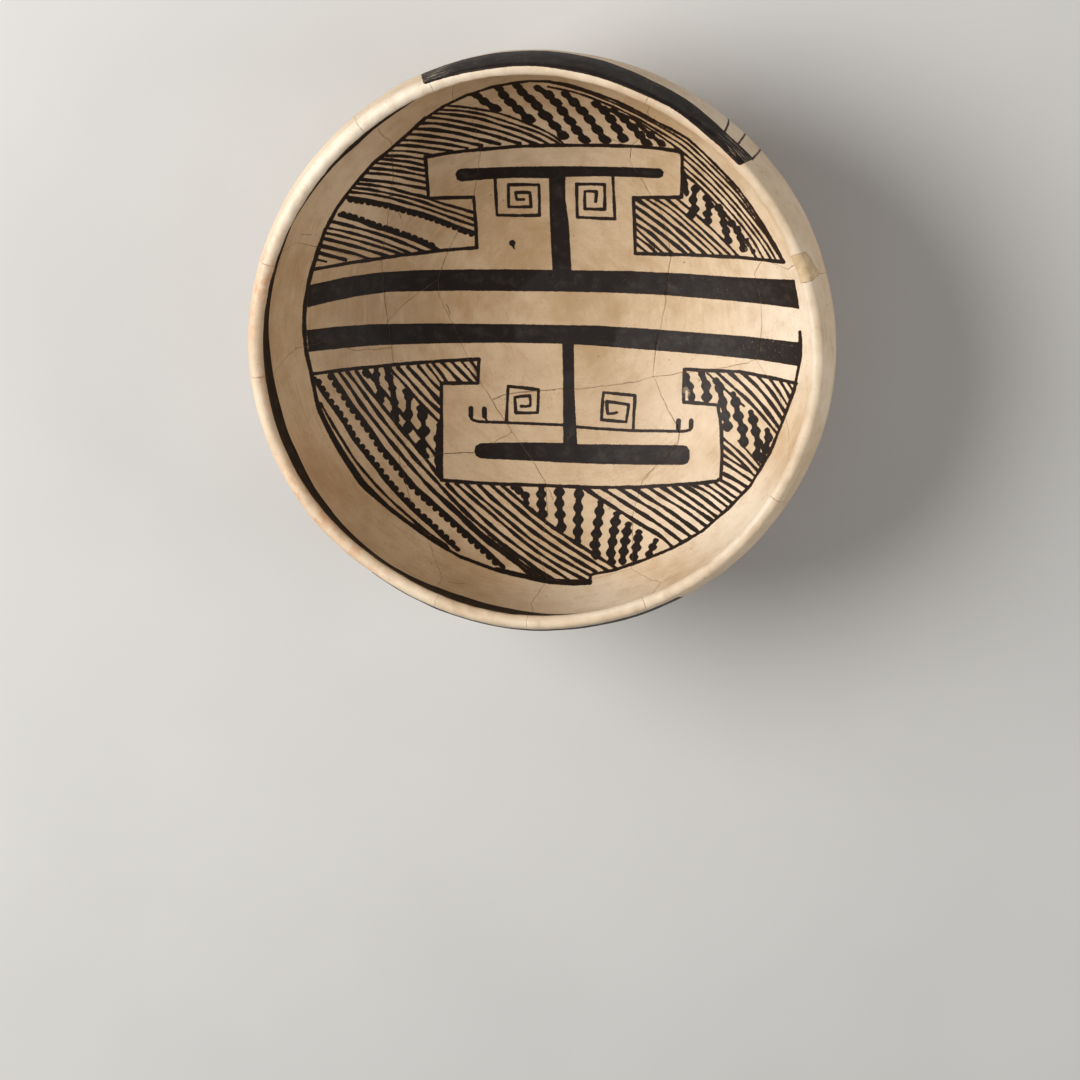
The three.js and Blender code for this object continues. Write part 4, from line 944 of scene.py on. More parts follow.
def lattice(h, rmax):
    n = int(rmax / h * 1.2) + 2
    i, j = np.meshgrid(np.arange(-n, n + 1), np.arange(-n, n + 1))
    i, j = i.ravel(), j.ravel()
    x, y = (i + 0.5 * j) * h, j * h * math.sqrt(3) / 2
    keep = x * x + y * y < rmax * rmax
    return x[keep], y[keep], i[keep], j[keep]


def candidates(inside):
    h = 0.52
    x, y, i, j = lattice(h, S_TOP - 3.4)
    s, a = np.hypot(x, y), np.degrees(np.arctan2(y, x))
    if inside:
        p = place(x, y, True)
        d = paint_inside(p, s, a, field)
    else:
        d = paint_outside(s, a)
    fine = np.abs(d) < (0.72 if inside else 0.62)
    if not inside:
        fine |= (d < 0.5) & (s < 172)
    step = np.where(s < 131, 2, 3) if inside else np.full(len(x), 3)
    coarse = (i % step == 0) & (j % step == 0)
    hair = hair_field["in" if inside else "out"].sample(x, y) < 1.1
    brk = break_distance(x, y)
    even = (i % 2 == 0) & (j % 2 == 0)
    keep = fine | coarse | (even & (hair | (brk < 2.6)))
    clear = (hair_field["in" if inside else "out"].sample(x, y) > 0.42) & (brk > 0.3)
    q = np.stack([x, y], -1)[keep & clear]
    # pits
    extra = []
    for s0, a0, r, depth in PITS["in" if inside else "out"]:
        c = chart(s0, a0)
        q = q[np.hypot(q[:, 0] - c[0], q[:, 1] - c[1]) > 1.9 * r + 0.1]
        extra.append(c[None])
        for k, (rad, n) in enumerate(((0.5 * r, 6), (1.0 * r, 9), (1.5 * r + 0.05, 12))):
            t = TAU * (np.arange(n) + 0.5 * k) / n
            extra.append(c + rad * np.stack([np.cos(t), np.sin(t)], -1))
    # cracks
    for line in (hair_in if inside else hair_out):
        t = np.gradient(line, axis=0)
        t /= np.maximum(np.hypot(t[:, 0], t[:, 1]), 1e-9)[:, None]
        n = np.stack([-t[:, 1], t[:, 0]], -1)
        extra += [line, line + n * 0.26, line - n * 0.26]
    # rows over the lip
    for k, ds in enumerate((0.55, 1.1, 1.7, 2.3, 2.9)):
        r = S_TOP - ds
        n = int(TAU * r / 1.5)
        t = TAU * (np.arange(n) + 0.5 * (k % 2)) / n
        extra.append(r * np.stack([np.cos(t), np.sin(t)], -1))
    q = np.concatenate([q] + extra)
    q = q[(break_distance(q[:, 0], q[:, 1]) > 0.34)]
    key = np.unique(np.round(q / 0.16).astype(int), axis=0, return_index=True)[1]
    return q[np.sort(key)]


CAND = {True: candidates(True), False: candidates(False)}


def triangulate(loop, points):
    nb = len(loop)
    verts = [Vector(v) for v in np.concatenate([loop, points]).tolist()]
    out = delaunay_2d_cdt(verts, [], [list(range(nb))], 1, 1e-7, True)
    vs, faces, orig = out[0], out[2], out[3]
    tri = np.array(faces, int)
    if len(vs) != len(verts) or any(o and o[0] != i for i, o in enumerate(orig[:nb])):
        back = np.full(len(vs), -1)
        for k, o in enumerate(orig):
            if o:
                back[k] = min(o)
        tri = back[tri]
        tri = tri[(tri >= 0).all(1)]
    tri = tri[(tri[:, 0] != tri[:, 1]) & (tri[:, 1] != tri[:, 2]) & (tri[:, 0] != tri[:, 2])]
    p = np.concatenate([loop, points])
    tri = tri[inside_polygon(p[tri].mean(1), loop)]
    e1, e2 = p[tri[:, 1]] - p[tri[:, 0]], p[tri[:, 2]] - p[tri[:, 0]]
    area = e1[:, 0] * e2[:, 1] - e1[:, 1] * e2[:, 0]
    flip = area < 0
    tri[flip] = tri[flip][:, ::-1]
    return tri


def new_object(name, verts_mm, tris, smooth, materials):
    me = bpy.data.meshes.new(name)
    me.from_pydata((verts_mm * MM).tolist(), [], tris.tolist())
    me.polygons.foreach_set("use_smooth", np.asarray(smooth, bool))
    for m in materials:
        me.materials.append(m)
    me.update()
    ob = bpy.data.objects.new(name, me)
    bpy.context.scene.collection.objects.link(ob)
    return ob


def add_floats(me, **arrays):
    for name, values in arrays.items():
        at = me.attributes.new(name, "FLOAT", "POINT")
        at.data.foreach_set("value", np.ascontiguousarray(values, np.float32))


# fire clouds and stains: (inside?, s, angle, spread along s, spread in mm round, strength)
BLUSH = [
    (1, 186, 166, 6, 20, 0.75), (1, 186, 188, 6, 16, 0.5), (1, 187, 215, 7, 20, 0.9), (1, 187, 228, 7, 18, 0.75), (1, 186, 47, 6, 12, 0.5),
    (1, 178, 172, 6, 16, 0.35), (1, 150, 118, 14, 22, 0.28), (1, 150, 205, 18, 30, 0.25),
    (0, 184, 166, 7, 22, 0.85), (0, 183, 172, 7, 18, 0.7), (0, 186, 215, 8, 22, 0.8), (0, 186, 228, 6, 18, 0.6), (0, 185, 47, 6, 12, 0.45),
    (0, 167, 180, 10, 12, 0.75), (0, 172, 176, 7, 14, 0.6), (0, 157, 183, 9, 10, 0.6), (0, 172, 189, 7, 12, 0.4), (0, 158, 157, 12, 16, 0.6),
    (0, 154, 182, 9, 10, 0.45), (0, 165, 163, 10, 14, 0.55), (0, 183, 211, 5, 14, 0.35), (0, 120, 150, 22, 30, 0.35), (0, 110, 215, 22, 36, 0.3),
    (0, 140, 300, 26, 34, 0.35), (0, 150, 20, 22, 30, 0.4), (0, 160, 75, 12, 22, 0.3), (0, 90, 60, 30, 40, 0.3), (0, 60, 250, 26, 30, 0.3),
    (0, 82, 186, 10, 60, 0.35),
]
SMOKE = [
    (0, 155, 190, 16, 9, 0.5), (0, 166, 198, 10, 10, 0.4), (0, 134, 186, 14, 12, 0.3), (0, 120, 340, 24, 30, 0.4), (0, 150, 95, 20, 26, 0.25),
    (0, 30, 0, 30, 200, 0.35), (1, 100, 180, 30, 18, 0.18), (1, 40, 300, 20, 16, 0.15), (1, 178, 150, 5, 24, 0.3), (0, 178, 150, 6, 18, 0.2),
    (0, 100, 30, 24, 26, 0.3),
]


def pale_slip_and_highlight_amount(p, s, a, inside):
    """Where the slip is thickest and palest, together with painted highlights: paler patches where the light falls on
    the lip and the inner wall.
    """
    lip = smooth01((s - 176) / 7)
    # paler lip all round, with painted highlights on the lip near 128 and 300 degrees where the light strikes it
    v = lip * (0.20 + 0.75 * np.exp(-(wrap(a - 128) / 42) ** 2) + 0.25 * np.exp(-(wrap(a - 300) / 60) ** 2))
    if inside:
        px, py = seen(p)
        # painted highlights: paler patches on the inner wall and lip where the light falls, placed on the drawing
        for x0, y0, rx, ry, k in ((800, 325, 62, 90, .85), (745, 520, 95, 66, .85), (600, 602, 90, 30, .75), (740, 190, 60, 60, .3),
                                  (340, 160, 60, 60, .35), (520, 150, 120, 30, .3), (690, 420, 80, 60, .3)):
            v = np.maximum(v, k * np.exp(-((px - x0) / rx) ** 2 - ((py - y0) / ry) ** 2))
        return np.clip(v, 0, 1)
    return np.clip(np.maximum(v, 0.38 + 0.12 * np.clip(n_big(p), -1, 1)), 0, 1)


def clouds(table, inside, s, a):
    v = np.zeros(len(s))
    for side, s0, a0, ds, da, k in table:
        if bool(side) != inside:
            continue
        R = max(float(arc_mm(s0)), 20) * math.pi / 180
        v = np.maximum(v, k * np.exp(-((s - s0) / ds) ** 2 - (wrap(a - a0) * R / da) ** 2))
    return v


def worn_amount(p, s, a, inside):
    """Where the paint is rubbed through, 0 to 1."""
    if inside:
        px, py = seen(p)
        v = 0.10 * np.ones(len(s))
        for x0, y0, rx, ry, k in ((690, 283, 95, 26, .42), (760, 290, 50, 26, .40), (700, 338, 110, 20, .40), (640, 330, 60, 14, .25),
                                  (752, 248, 20, 12, .7), (745, 251, 10, 7, .7), (686, 392, 6, 10, .9), (730, 205, 60, 50, .4),
                                  (470, 290, 160, 30, .28), (430, 334, 120, 20, .25), (600, 173, 70, 8, .35), (760, 345, 50, 20, .5),
                                  (690, 230, 40, 30, .3), (700, 520, 60, 40, .2), (560, 230, 20, 40, .25), (780, 350, 30, 24, .45)):
            v = np.maximum(v, k * np.exp(-((px - x0) / rx) ** 2 - ((py - y0) / ry) ** 2))
        band = smooth01((s - 150) / 6)
        v = v * (1 - band) + band * (0.22 + 0.22 * np.clip(n_mid(p), 0, 1))
        return v
    v = 0.25 + 0.2 * np.clip(n_mid(p), 0, 1)
    return v


def dry_amount(s, a, inside):
    """Streaks left by a nearly dry brush at the ends of the bands."""
    if inside:
        u = (a - 355.3) % 360.0
        return np.where(s > 150, 0.25 * smooth01((np.minimum(u, 360 - u) - 60) / 60), 0.0)
    v = np.zeros(len(s))
    for a0, a1 in BANDS_OUT:
        for e, sg in ((a0, 1), (a1, -1)):
            u = sg * wrap(a - e)
            v = np.maximum(v, np.where((u > -2) & (u < 14), smooth01((14 - u) / 11), 0))
    return np.where(s > 150, np.maximum(v, 0.22), 0)


# ======================================================================
# Materials
# ======================================================================


class Nodes:
    def __init__(self, name):
        self.mat = bpy.data.materials.new(name)
        self.mat.use_nodes = True
        self.t = self.mat.node_tree
        self.t.nodes.clear()
        self.out = self.t.nodes.new("ShaderNodeOutputMaterial")
        self.bsdf = self.t.nodes.new("ShaderNodeBsdfPrincipled")
        self.t.links.new(self.bsdf.outputs[0], self.out.inputs[0])

    def link(self, a, b):
        self.t.links.new(a, b)

    def _set(self, socket, v):
        if hasattr(v, "is_linked") or isinstance(v, bpy.types.NodeSocket):
            self.link(v, socket)
        else:
            socket.default_value = v

    def math(self, op, a, b=None, c=None, clamp=False):
        n = self.t.nodes.new("ShaderNodeMath")
        n.operation, n.use_clamp = op, clamp
        for i, v in enumerate((a, b, c)):
            if v is not None:
                self._set(n.inputs[i], v)
        return n.outputs[0]

    def position(self, scale=(1000.0, 1000.0, 1000.0)):
        c = self.t.nodes.new("ShaderNodeTexCoord")
        n = self.t.nodes.new("ShaderNodeVectorMath")
        n.operation = "MULTIPLY"
        self.link(c.outputs["Object"], n.inputs[0])
        n.inputs[1].default_value = scale
        return n.outputs[0]

    def noise(self, vec, scale, detail=3.0, rough=0.55, distort=0.0):
        n = self.t.nodes.new("ShaderNodeTexNoise")
        self.link(vec, n.inputs["Vector"])
        n.inputs["Scale"].default_value = scale
        n.inputs["Detail"].default_value = detail
        n.inputs["Roughness"].default_value = rough
        n.inputs["Distortion"].default_value = distort
        return n.outputs["Fac"]

    def cells(self, vec, scale, randomness=1.0):
        n = self.t.nodes.new("ShaderNodeTexVoronoi")
        self.link(vec, n.inputs["Vector"])
        n.inputs["Scale"].default_value = scale
        n.inputs["Randomness"].default_value = randomness
        s = self.t.nodes.new("ShaderNodeSeparateColor")
        self.link(n.outputs["Color"], s.inputs[0])
        return n.outputs["Distance"], s.outputs[0], s.outputs[1]

    def attr(self, name):
        n = self.t.nodes.new("ShaderNodeAttribute")
        n.attribute_name = name
        return n.outputs["Fac"]

    def ramp(self, v, lo, hi, out_lo=0.0, out_hi=1.0, kind="SMOOTHSTEP"):
        n = self.t.nodes.new("ShaderNodeMapRange")
        n.interpolation_type = kind
        n.clamp = True
        self._set(n.inputs["Value"], v)
        self._set(n.inputs["From Min"], lo)
        self._set(n.inputs["From Max"], hi)
        self._set(n.inputs["To Min"], out_lo)
        self._set(n.inputs["To Max"], out_hi)
        return n.outputs["Result"]

    def mix(self, fac, a, b, blend="MIX"):
        n = self.t.nodes.new("ShaderNodeMix")
        n.data_type, n.blend_type = "RGBA", blend
        self._set(n.inputs[0], fac)
        self._set(n.inputs[6], a)
        self._set(n.inputs[7], b)
        return n.outputs[2]

    def bump(self, height, strength, distance):
        n = self.t.nodes.new("ShaderNodeBump")
        n.inputs["Strength"].default_value = strength
        n.inputs["Distance"].default_value = distance
        self.link(height, n.inputs["Height"])
        return n.outputs[0]


def rgb(h):
    v = [int(h[i:i + 2], 16) / 255 for i in (0, 2, 4)]
    return tuple(c / 12.92 if c <= 0.04045 else ((c + 0.055) / 1.055) ** 2.4 for c in v) + (1.0,)


def clay_material():
    n = Nodes("slipped_clay")
    P = n.position()
    flat = n.position((60.0, 60.0, 1150.0))          # stretched round the bowl
    big, mid = n.noise(P, 0.021, 3, 0.5), n.noise(P, 0.11, 4, 0.6)
    fine, grain = n.noise(P, 0.9, 3, 0.6), n.noise(P, 3.6, 2, 0.6)
    wipe = n.noise(flat, 1.0, 4, 0.62, 0.2)
    blush, smoke = n.attr("blush"), n.attr("smoke")

    # the slip
    tone = n.math("ADD", n.math("MULTIPLY", big, 0.6), n.math("MULTIPLY", mid, 0.4))
    col = n.mix(n.ramp(tone, 0.36, 0.64), rgb("c7aa86"), rgb("dfc7a8"))
    col = n.mix(n.math("MULTIPLY", n.ramp(fine, 0.52, 0.78), 0.35), col, rgb("b98f66"))
    col = n.mix(n.math("MULTIPLY", n.ramp(wipe, 0.50, 0.74), 0.30), col, rgb("bd9468"))
    col = n.mix(n.math("MULTIPLY", n.ramp(wipe, 0.47, 0.28), 0.25), col, rgb("efdcbc"))
    # pale slip, which also carries the painted highlights on the lip and the lit inner wall
    pale_slip_and_highlight = n.math("MULTIPLY", n.attr("pale_slip_and_highlight"), n.ramp(n.math("ADD", n.math("MULTIPLY", mid, 0.6), n.math("MULTIPLY", fine, 0.4)), 0.30, 0.55, 0.6, 1.0))
    col = n.mix(pale_slip_and_highlight, col, rgb("f3e6d3"))
    # fire clouds, and brown smears where the lip is handled
    cloud = n.math("MULTIPLY", blush, n.ramp(n.math("ADD", n.math("MULTIPLY", mid, 0.55), n.math("MULTIPLY", n.noise(P, 0.32, 3, 0.6), 0.45)), 0.40, 0.62))
    col = n.mix(n.math("MULTIPLY", cloud, 0.72, clamp=True), col, rgb("cd8650"))
    smear = n.math("MULTIPLY", n.ramp(n.noise(P, 0.20, 4, 0.68), 0.52, 0.72), n.ramp(n.noise(P, 1.1, 3, 0.7), 0.40, 0.62))
    col = n.mix(n.math("MULTIPLY", smear, 0.30), col, rgb("a97d54"))
    col = n.mix(n.math("MULTIPLY", n.math("MULTIPLY", smoke, n.ramp(mid, 0.3, 0.6)), 0.5), col, rgb("8d7558"))
    # specks of temper and dirt
    d1, r1, q1 = n.cells(P, 0.42)
    speck = n.math("MULTIPLY", n.ramp(d1, 0.085, 0.045), n.math("GREATER_THAN", r1, 0.86))
    d2, r2, q2 = n.cells(P, 0.16)
    speck2 = n.math("MULTIPLY", n.ramp(d2, 0.060, 0.03), n.math("GREATER_THAN", r2, 0.80))
    d3, r3, q3 = n.cells(P, 0.3)
    rust = n.math("MULTIPLY", n.ramp(d3, 0.11, 0.03), n.math("GREATER_THAN", r3, 0.9))
    col = n.mix(n.math("MULTIPLY", speck, 0.75), col, rgb("5a3d26"))
    col = n.mix(n.math("MULTIPLY", speck2, 0.7), col, rgb("40291a"))
    col = n.mix(n.math("MULTIPLY", rust, 0.55), col, rgb("b4672f"))
    bare = col

    # the paint
    sd = n.attr("paint")
    rough_edge = n.math("ADD", n.math("MULTIPLY_ADD", n.noise(P, 1.5, 3, 0.65), 0.55, -0.275), n.math("MULTIPLY_ADD", n.noise(P, 0.45, 2, 0.5), 0.34, -0.17))
    sdn = n.math("ADD", sd, rough_edge)
    mask = n.ramp(sdn, 0.075, -0.075)
    worn, dry = n.attr("worn"), n.attr("dry")
    # flecks rubbed through
    fleck = n.noise(P, 1.35, 4, 0.72)
    fleck_cut = n.math("MULTIPLY_ADD", worn, -0.17, 0.735)
    flecks = n.ramp(fleck, fleck_cut, n.math("ADD", fleck_cut, 0.035))
    patch = n.ramp(n.math("ADD", n.math("MULTIPLY", worn, 0.55), n.noise(P, 0.24, 4, 0.65)), 0.86, 1.05)
    patch = n.math("MULTIPLY", patch, n.ramp(n.noise(P, 2.6, 3, 0.7), 0.44, 0.60))
    streak = n.noise(n.position((75.0, 75.0, 2600.0)), 1.0, 3, 0.7)
    streak_cut = n.math("MULTIPLY_ADD", dry, -0.20, 0.76)
    streaks = n.math("MULTIPLY", n.ramp(streak, streak_cut, n.math("ADD", streak_cut, 0.07)), n.ramp(dry, 0.02, 0.3))
    lost = n.math("MAXIMUM", n.math("MULTIPLY", flecks, 0.9), n.math("MAXIMUM", n.math("MULTIPLY", patch, 0.75), n.math("MULTIPLY", streaks, 0.85)))
    cover = n.math("MULTIPLY", mask, n.math("SUBTRACT", 1.0, lost, clamp=True))
    depth = n.ramp(sdn, -0.08, -0.62)
    ink = n.mix(depth, rgb("3a2416"), rgb("231a16"))
    # painted sheen: grey mottling across the thick strokes, standing in for the shine of the paint
    ink = n.mix(n.math("MULTIPLY", n.ramp(n.noise(P, 0.17, 4, 0.6), 0.45, 0.72), n.ramp(sdn, -0.5, -2.0)), ink, rgb("3b332f"))
    ink = n.mix(n.math("MULTIPLY", n.ramp(streak, 0.5, 0.7), n.math("MULTIPLY", dry, 0.7)), ink, rgb("5a4433"))
    col = n.mix(cover, bare, ink)
    halo = n.math("MULTIPLY", n.ramp(sdn, 0.42, 0.0), n.ramp(n.noise(P, 0.5, 3, 0.6), 0.48, 0.7))
    col = n.mix(n.math("MULTIPLY", n.math("MULTIPLY", halo, 0.35), n.math("SUBTRACT", 1.0, cover)), col, rgb("a5713f"))

    # hairline cracks, and dirt along the joins
    hair = n.attr("hair")
    line = n.math("MULTIPLY", n.ramp(hair, 0.24, 0.07), n.ramp(n.noise(P, 0.33, 2), 0.34, 0.46))
    col = n.mix(n.math("MULTIPLY", line, 0.85), col, rgb("3f2918"))
    edge = n.attr("edge")
    dirt = n.math("MULTIPLY", n.ramp(edge, 0.33, 0.04), n.ramp(n.noise(P, 0.30, 3), 0.34, 0.60))
    dirt = n.math("MULTIPLY", dirt, n.attr("show"))
    col = n.mix(n.math("MULTIPLY", dirt, 0.62), col, rgb("6b4527"))
    pit = n.attr("pit")
    col = n.mix(n.math("MULTIPLY", pit, 0.85), col, rgb("4a3220"))
    pale = n.attr("pale")
    col = n.mix(n.math("MULTIPLY", n.math("MULTIPLY", pale, n.ramp(fine, 0.35, 0.6)), 0.8), col, rgb("efe3cd"))
    n.link(col, n.bsdf.inputs["Base Color"])

    # burnish: a soft uneven sheen
    r = n.math("ADD", n.math("MULTIPLY", mid, 0.22), n.math("MULTIPLY", fine, 0.20))
    r = n.math("ADD", r, n.math("MULTIPLY", wipe, 0.16))
    r = n.math("ADD", r, 0.23)
    r = n.math("ADD", r, n.math("MULTIPLY", cover, 0.05))
    r = n.math("ADD", r, n.math("MULTIPLY", dirt, 0.15), clamp=True)
    n.link(r, n.bsdf.inputs["Roughness"])
    n.bsdf.inputs["Specular IOR Level"].default_value = 0.42

    # fine relief
    hgt = n.math("ADD", n.math("MULTIPLY", fine, 0.30), n.math("MULTIPLY", grain, 0.16))
    hgt = n.math("ADD", hgt, n.math("MULTIPLY", wipe, 0.22))
    hgt = n.math("ADD", hgt, n.math("MULTIPLY", n.noise(P, 0.3, 3, 0.55), 0.55))
    hgt = n.math("SUBTRACT", hgt, n.math("MULTIPLY", n.math("MAXIMUM", speck, speck2), 0.35))
    hgt = n.math("SUBTRACT", hgt, n.math("MULTIPLY", line, 0.6))
    hgt = n.math("ADD", hgt, n.math("MULTIPLY", cover, 0.10))
    n.link(n.bump(hgt, 0.55, 0.00016), n.bsdf.inputs["Normal"])
    return n.mat


def fill_material():
    n = Nodes("toned_plaster")
    P = n.position()
    mid, fine = n.noise(P, 0.25, 4, 0.6), n.noise(P, 1.8, 3, 0.65)
    col = n.mix(n.ramp(mid, 0.35, 0.65), rgb("cbb18d"), rgb("dcc5a3"))
    col = n.mix(n.math("MULTIPLY", n.ramp(fine, 0.50, 0.8), 0.45), col, rgb("b08a60"))
    n.link(col, n.bsdf.inputs["Base Color"])
    n.link(n.ramp(mid, 0.3, 0.7, 0.72, 0.88), n.bsdf.inputs["Roughness"])
    n.link(n.bump(n.math("ADD", n.math("MULTIPLY", fine, 0.7), mid), 0.6, 0.00022), n.bsdf.inputs["Normal"])
    return n.mat


def glue_material():
    n = Nodes("aged_adhesive")
    P = n.position()
    mid, fine = n.noise(P, 0.22, 4, 0.6), n.noise(P, 1.6, 3, 0.65)
    dark = n.mix(n.ramp(mid, 0.35, 0.62), rgb("5a3d27"), rgb("96724e"))
    dark = n.mix(n.math("MULTIPLY", n.ramp(fine, 0.5, 0.75), 0.4), dark, rgb("3c291b"))
    col = n.mix(n.attr("show"), n.mix(n.ramp(fine, 0.35, 0.65), rgb("c2a27c"), rgb("d3b894")), dark)
    n.link(col, n.bsdf.inputs["Base Color"])
    n.link(n.ramp(fine, 0.3, 0.7, 0.45, 0.75), n.bsdf.inputs["Roughness"])
    n.link(n.bump(n.math("ADD", fine, mid), 0.6, 0.0002), n.bsdf.inputs["Normal"])
    return n.mat


CLAY, FILL, GLUE = clay_material(), fill_material(), glue_material()

# ======================================================================
# The sherds
# ======================================================================

GAP = 0.045          # half the width of a join, mm
shown_faces = 0


def chart_uv(loop, q, left):
    lo, hi = loop.min(0), loop.max(0)
    k = 0.48 / max((hi - lo)[0], (hi - lo)[1] * 0.48 / 0.95)
    uv = (q - lo) * k
    uv[:, 0] += 0.01 if left else 0.51
    uv[:, 1] += 0.04
    return uv


def make_sherd(name, pieces):
    global shown_faces
    base, crest = sherd_loop(pieces)
    loop = inset(base, crest, GAP)
    nb = len(loop)
    rows = []
    for d, every in ((0.30, 1), (0.72, 1)):
        row = inset(base, crest, d + GAP)[~crest][::every]
        rows.append(row[break_distance(row[:, 0], row[:, 1]) > d * 0.82])
    sheets = {}
    for inside in (False, True):
        cand = CAND[inside]
        lo, hi = loop.min(0), loop.max(0)
        c = cand[((cand > lo) & (cand < hi)).all(1)]
        c = c[break_distance(c[:, 0], c[:, 1]) > 1.0]
        c = np.concatenate([c] + rows)
        c = c[inside_polygon(c, loop)]
        c = c[np.hypot(c[:, 0], c[:, 1]) < S_TOP - 0.3]
        key = np.unique(np.round(c / 0.14).astype(int), axis=0, return_index=True)[1]
        c = c[np.sort(key)]
        sheets[inside] = (np.concatenate([loop, c]), triangulate(loop, c))
    pts, tris, smooth, chart_of = [], [], [], []
    po, to = sheets[False]
    pi, ti = sheets[True]
    vo, ho = surface(po[:, 0], po[:, 1], False)
    vi, hi_ = surface(pi[:, 0], pi[:, 1], True)
    # the two sheets meet at the crest
    ic = np.arange(len(pi)) + len(po)
    ic[:nb] = np.where(crest, np.arange(nb), len(po) + np.arange(nb))
    both = 0.5 * (vo[:nb] + vi[:nb])
    vo[:nb][crest] = both[crest]
    verts = np.concatenate([vo, vi])
    wall = []
    for i in range(nb):
        j = (i + 1) % nb
        if crest[i] and crest[j]:
            continue
        a, b, c, d = ic[j], ic[i], i, j
        if a != d:
            wall.append((a, b, d) if b != c else (a, b, d))
        if b != c:
            wall.append((b, c, d))
    wall = np.array(wall, int).reshape(-1, 3)
    faces = np.concatenate([to[:, ::-1], ic[ti], wall])
    used = np.zeros(len(verts), bool)
    used[faces.ravel()] = True
    new = np.cumsum(used) - 1
    chart_all = np.concatenate([po, pi])
    inner_flag = np.concatenate([np.zeros(len(po), bool), np.ones(len(pi), bool)])
    mat = FILL if name == "rim_fill" else CLAY
    smooth = np.concatenate([np.ones(len(to) + len(ti), bool), np.zeros(len(wall), bool)])
    ob = new_object("sherd_" + name.replace("_sherd", "") if name != "rim_fill" else "plaster_rim_fill", verts[used], new[faces], smooth, [mat])
    me = ob.data
    shown_faces += len(faces)
    # what is on the surface
    A = {}
    ko, ki = {}, {}
    for inside, q, v, store in ((False, po, vo, ko), (True, pi, vi, ki)):
        s, a = np.hypot(q[:, 0], q[:, 1]), np.degrees(np.arctan2(q[:, 1], q[:, 0]))
        plain = place(q[:, 0], q[:, 1], inside)
        store["paint"] = np.clip(paint_inside(v, s, a, field) if inside else paint_outside(s, a), -3, 3)
        store["hair"] = hair_field["in" if inside else "out"].sample(q[:, 0], q[:, 1])
        store["edge"] = break_distance(q[:, 0], q[:, 1])
        store["show"] = np.clip(join_shown(v, s, inside), 0, 1)
        store["blush"] = clouds(BLUSH, inside, s, a)
        store["smoke"] = clouds(SMOKE, inside, s, a)
        store["pale_slip_and_highlight"] = pale_slip_and_highlight_amount(plain, s, a, inside)
        store["worn"] = worn_amount(plain, s, a, inside)
        store["dry"] = dry_amount(s, a, inside)
        pit, pale = np.zeros(len(s)), np.zeros(len(s))
        for s0, a0, r, depth in PITS["in" if inside else "out"]:
            c = chart(s0, a0)
            w = np.exp(-((q[:, 0] - c[0]) ** 2 + (q[:, 1] - c[1]) ** 2) / (r * r) * 1.3)
            if depth < 0.25:
                pale = np.maximum(pale, w)
            else:
                pit = np.maximum(pit, w * min(depth / 0.4, 1))
        store["pit"], store["pale"] = pit, pale
    for k in ko:
        A[k] = np.concatenate([ko[k], ki[k]])[used]
    add_floats(me, **A)
    # flat pattern for the maps: outer sheet, inner sheet, and the edge below them
    uv = np.zeros((len(faces) * 3, 2), np.float32)
    no, ni = len(to), len(ti)
    uv[:no * 3] = chart_uv(loop, po, True)[to[:, ::-1].ravel()]
    uv[no * 3:(no + ni) * 3] = chart_uv(loop, pi, False)[ti.ravel()]
    if len(wall):
        w = wall.ravel()
        idx = np.where(w < len(po), w, w - len(po))
        idx = np.minimum(idx, nb - 1)
        u = (idx / nb).reshape(-1, 3)
        u = np.where((u.max(1) - u.min(1) > 0.5)[:, None] & (u < 0.5), 1.0, u).ravel()
        uv[(no + ni) * 3:, 0] = u * 0.98 + 0.01
        uv[(no + ni) * 3:, 1] = np.where(w < len(po), 0.005, 0.025)
    layer = me.uv_layers.new(name="OFBake")
    layer.data.foreach_set("uv", uv.ravel())
    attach(ob, "root")
    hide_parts(name)
    return ob


for sherd, pieces in SHERDS.items():
    make_sherd(sherd, pieces)

# ======================================================================
# The adhesive in the joins
# ======================================================================


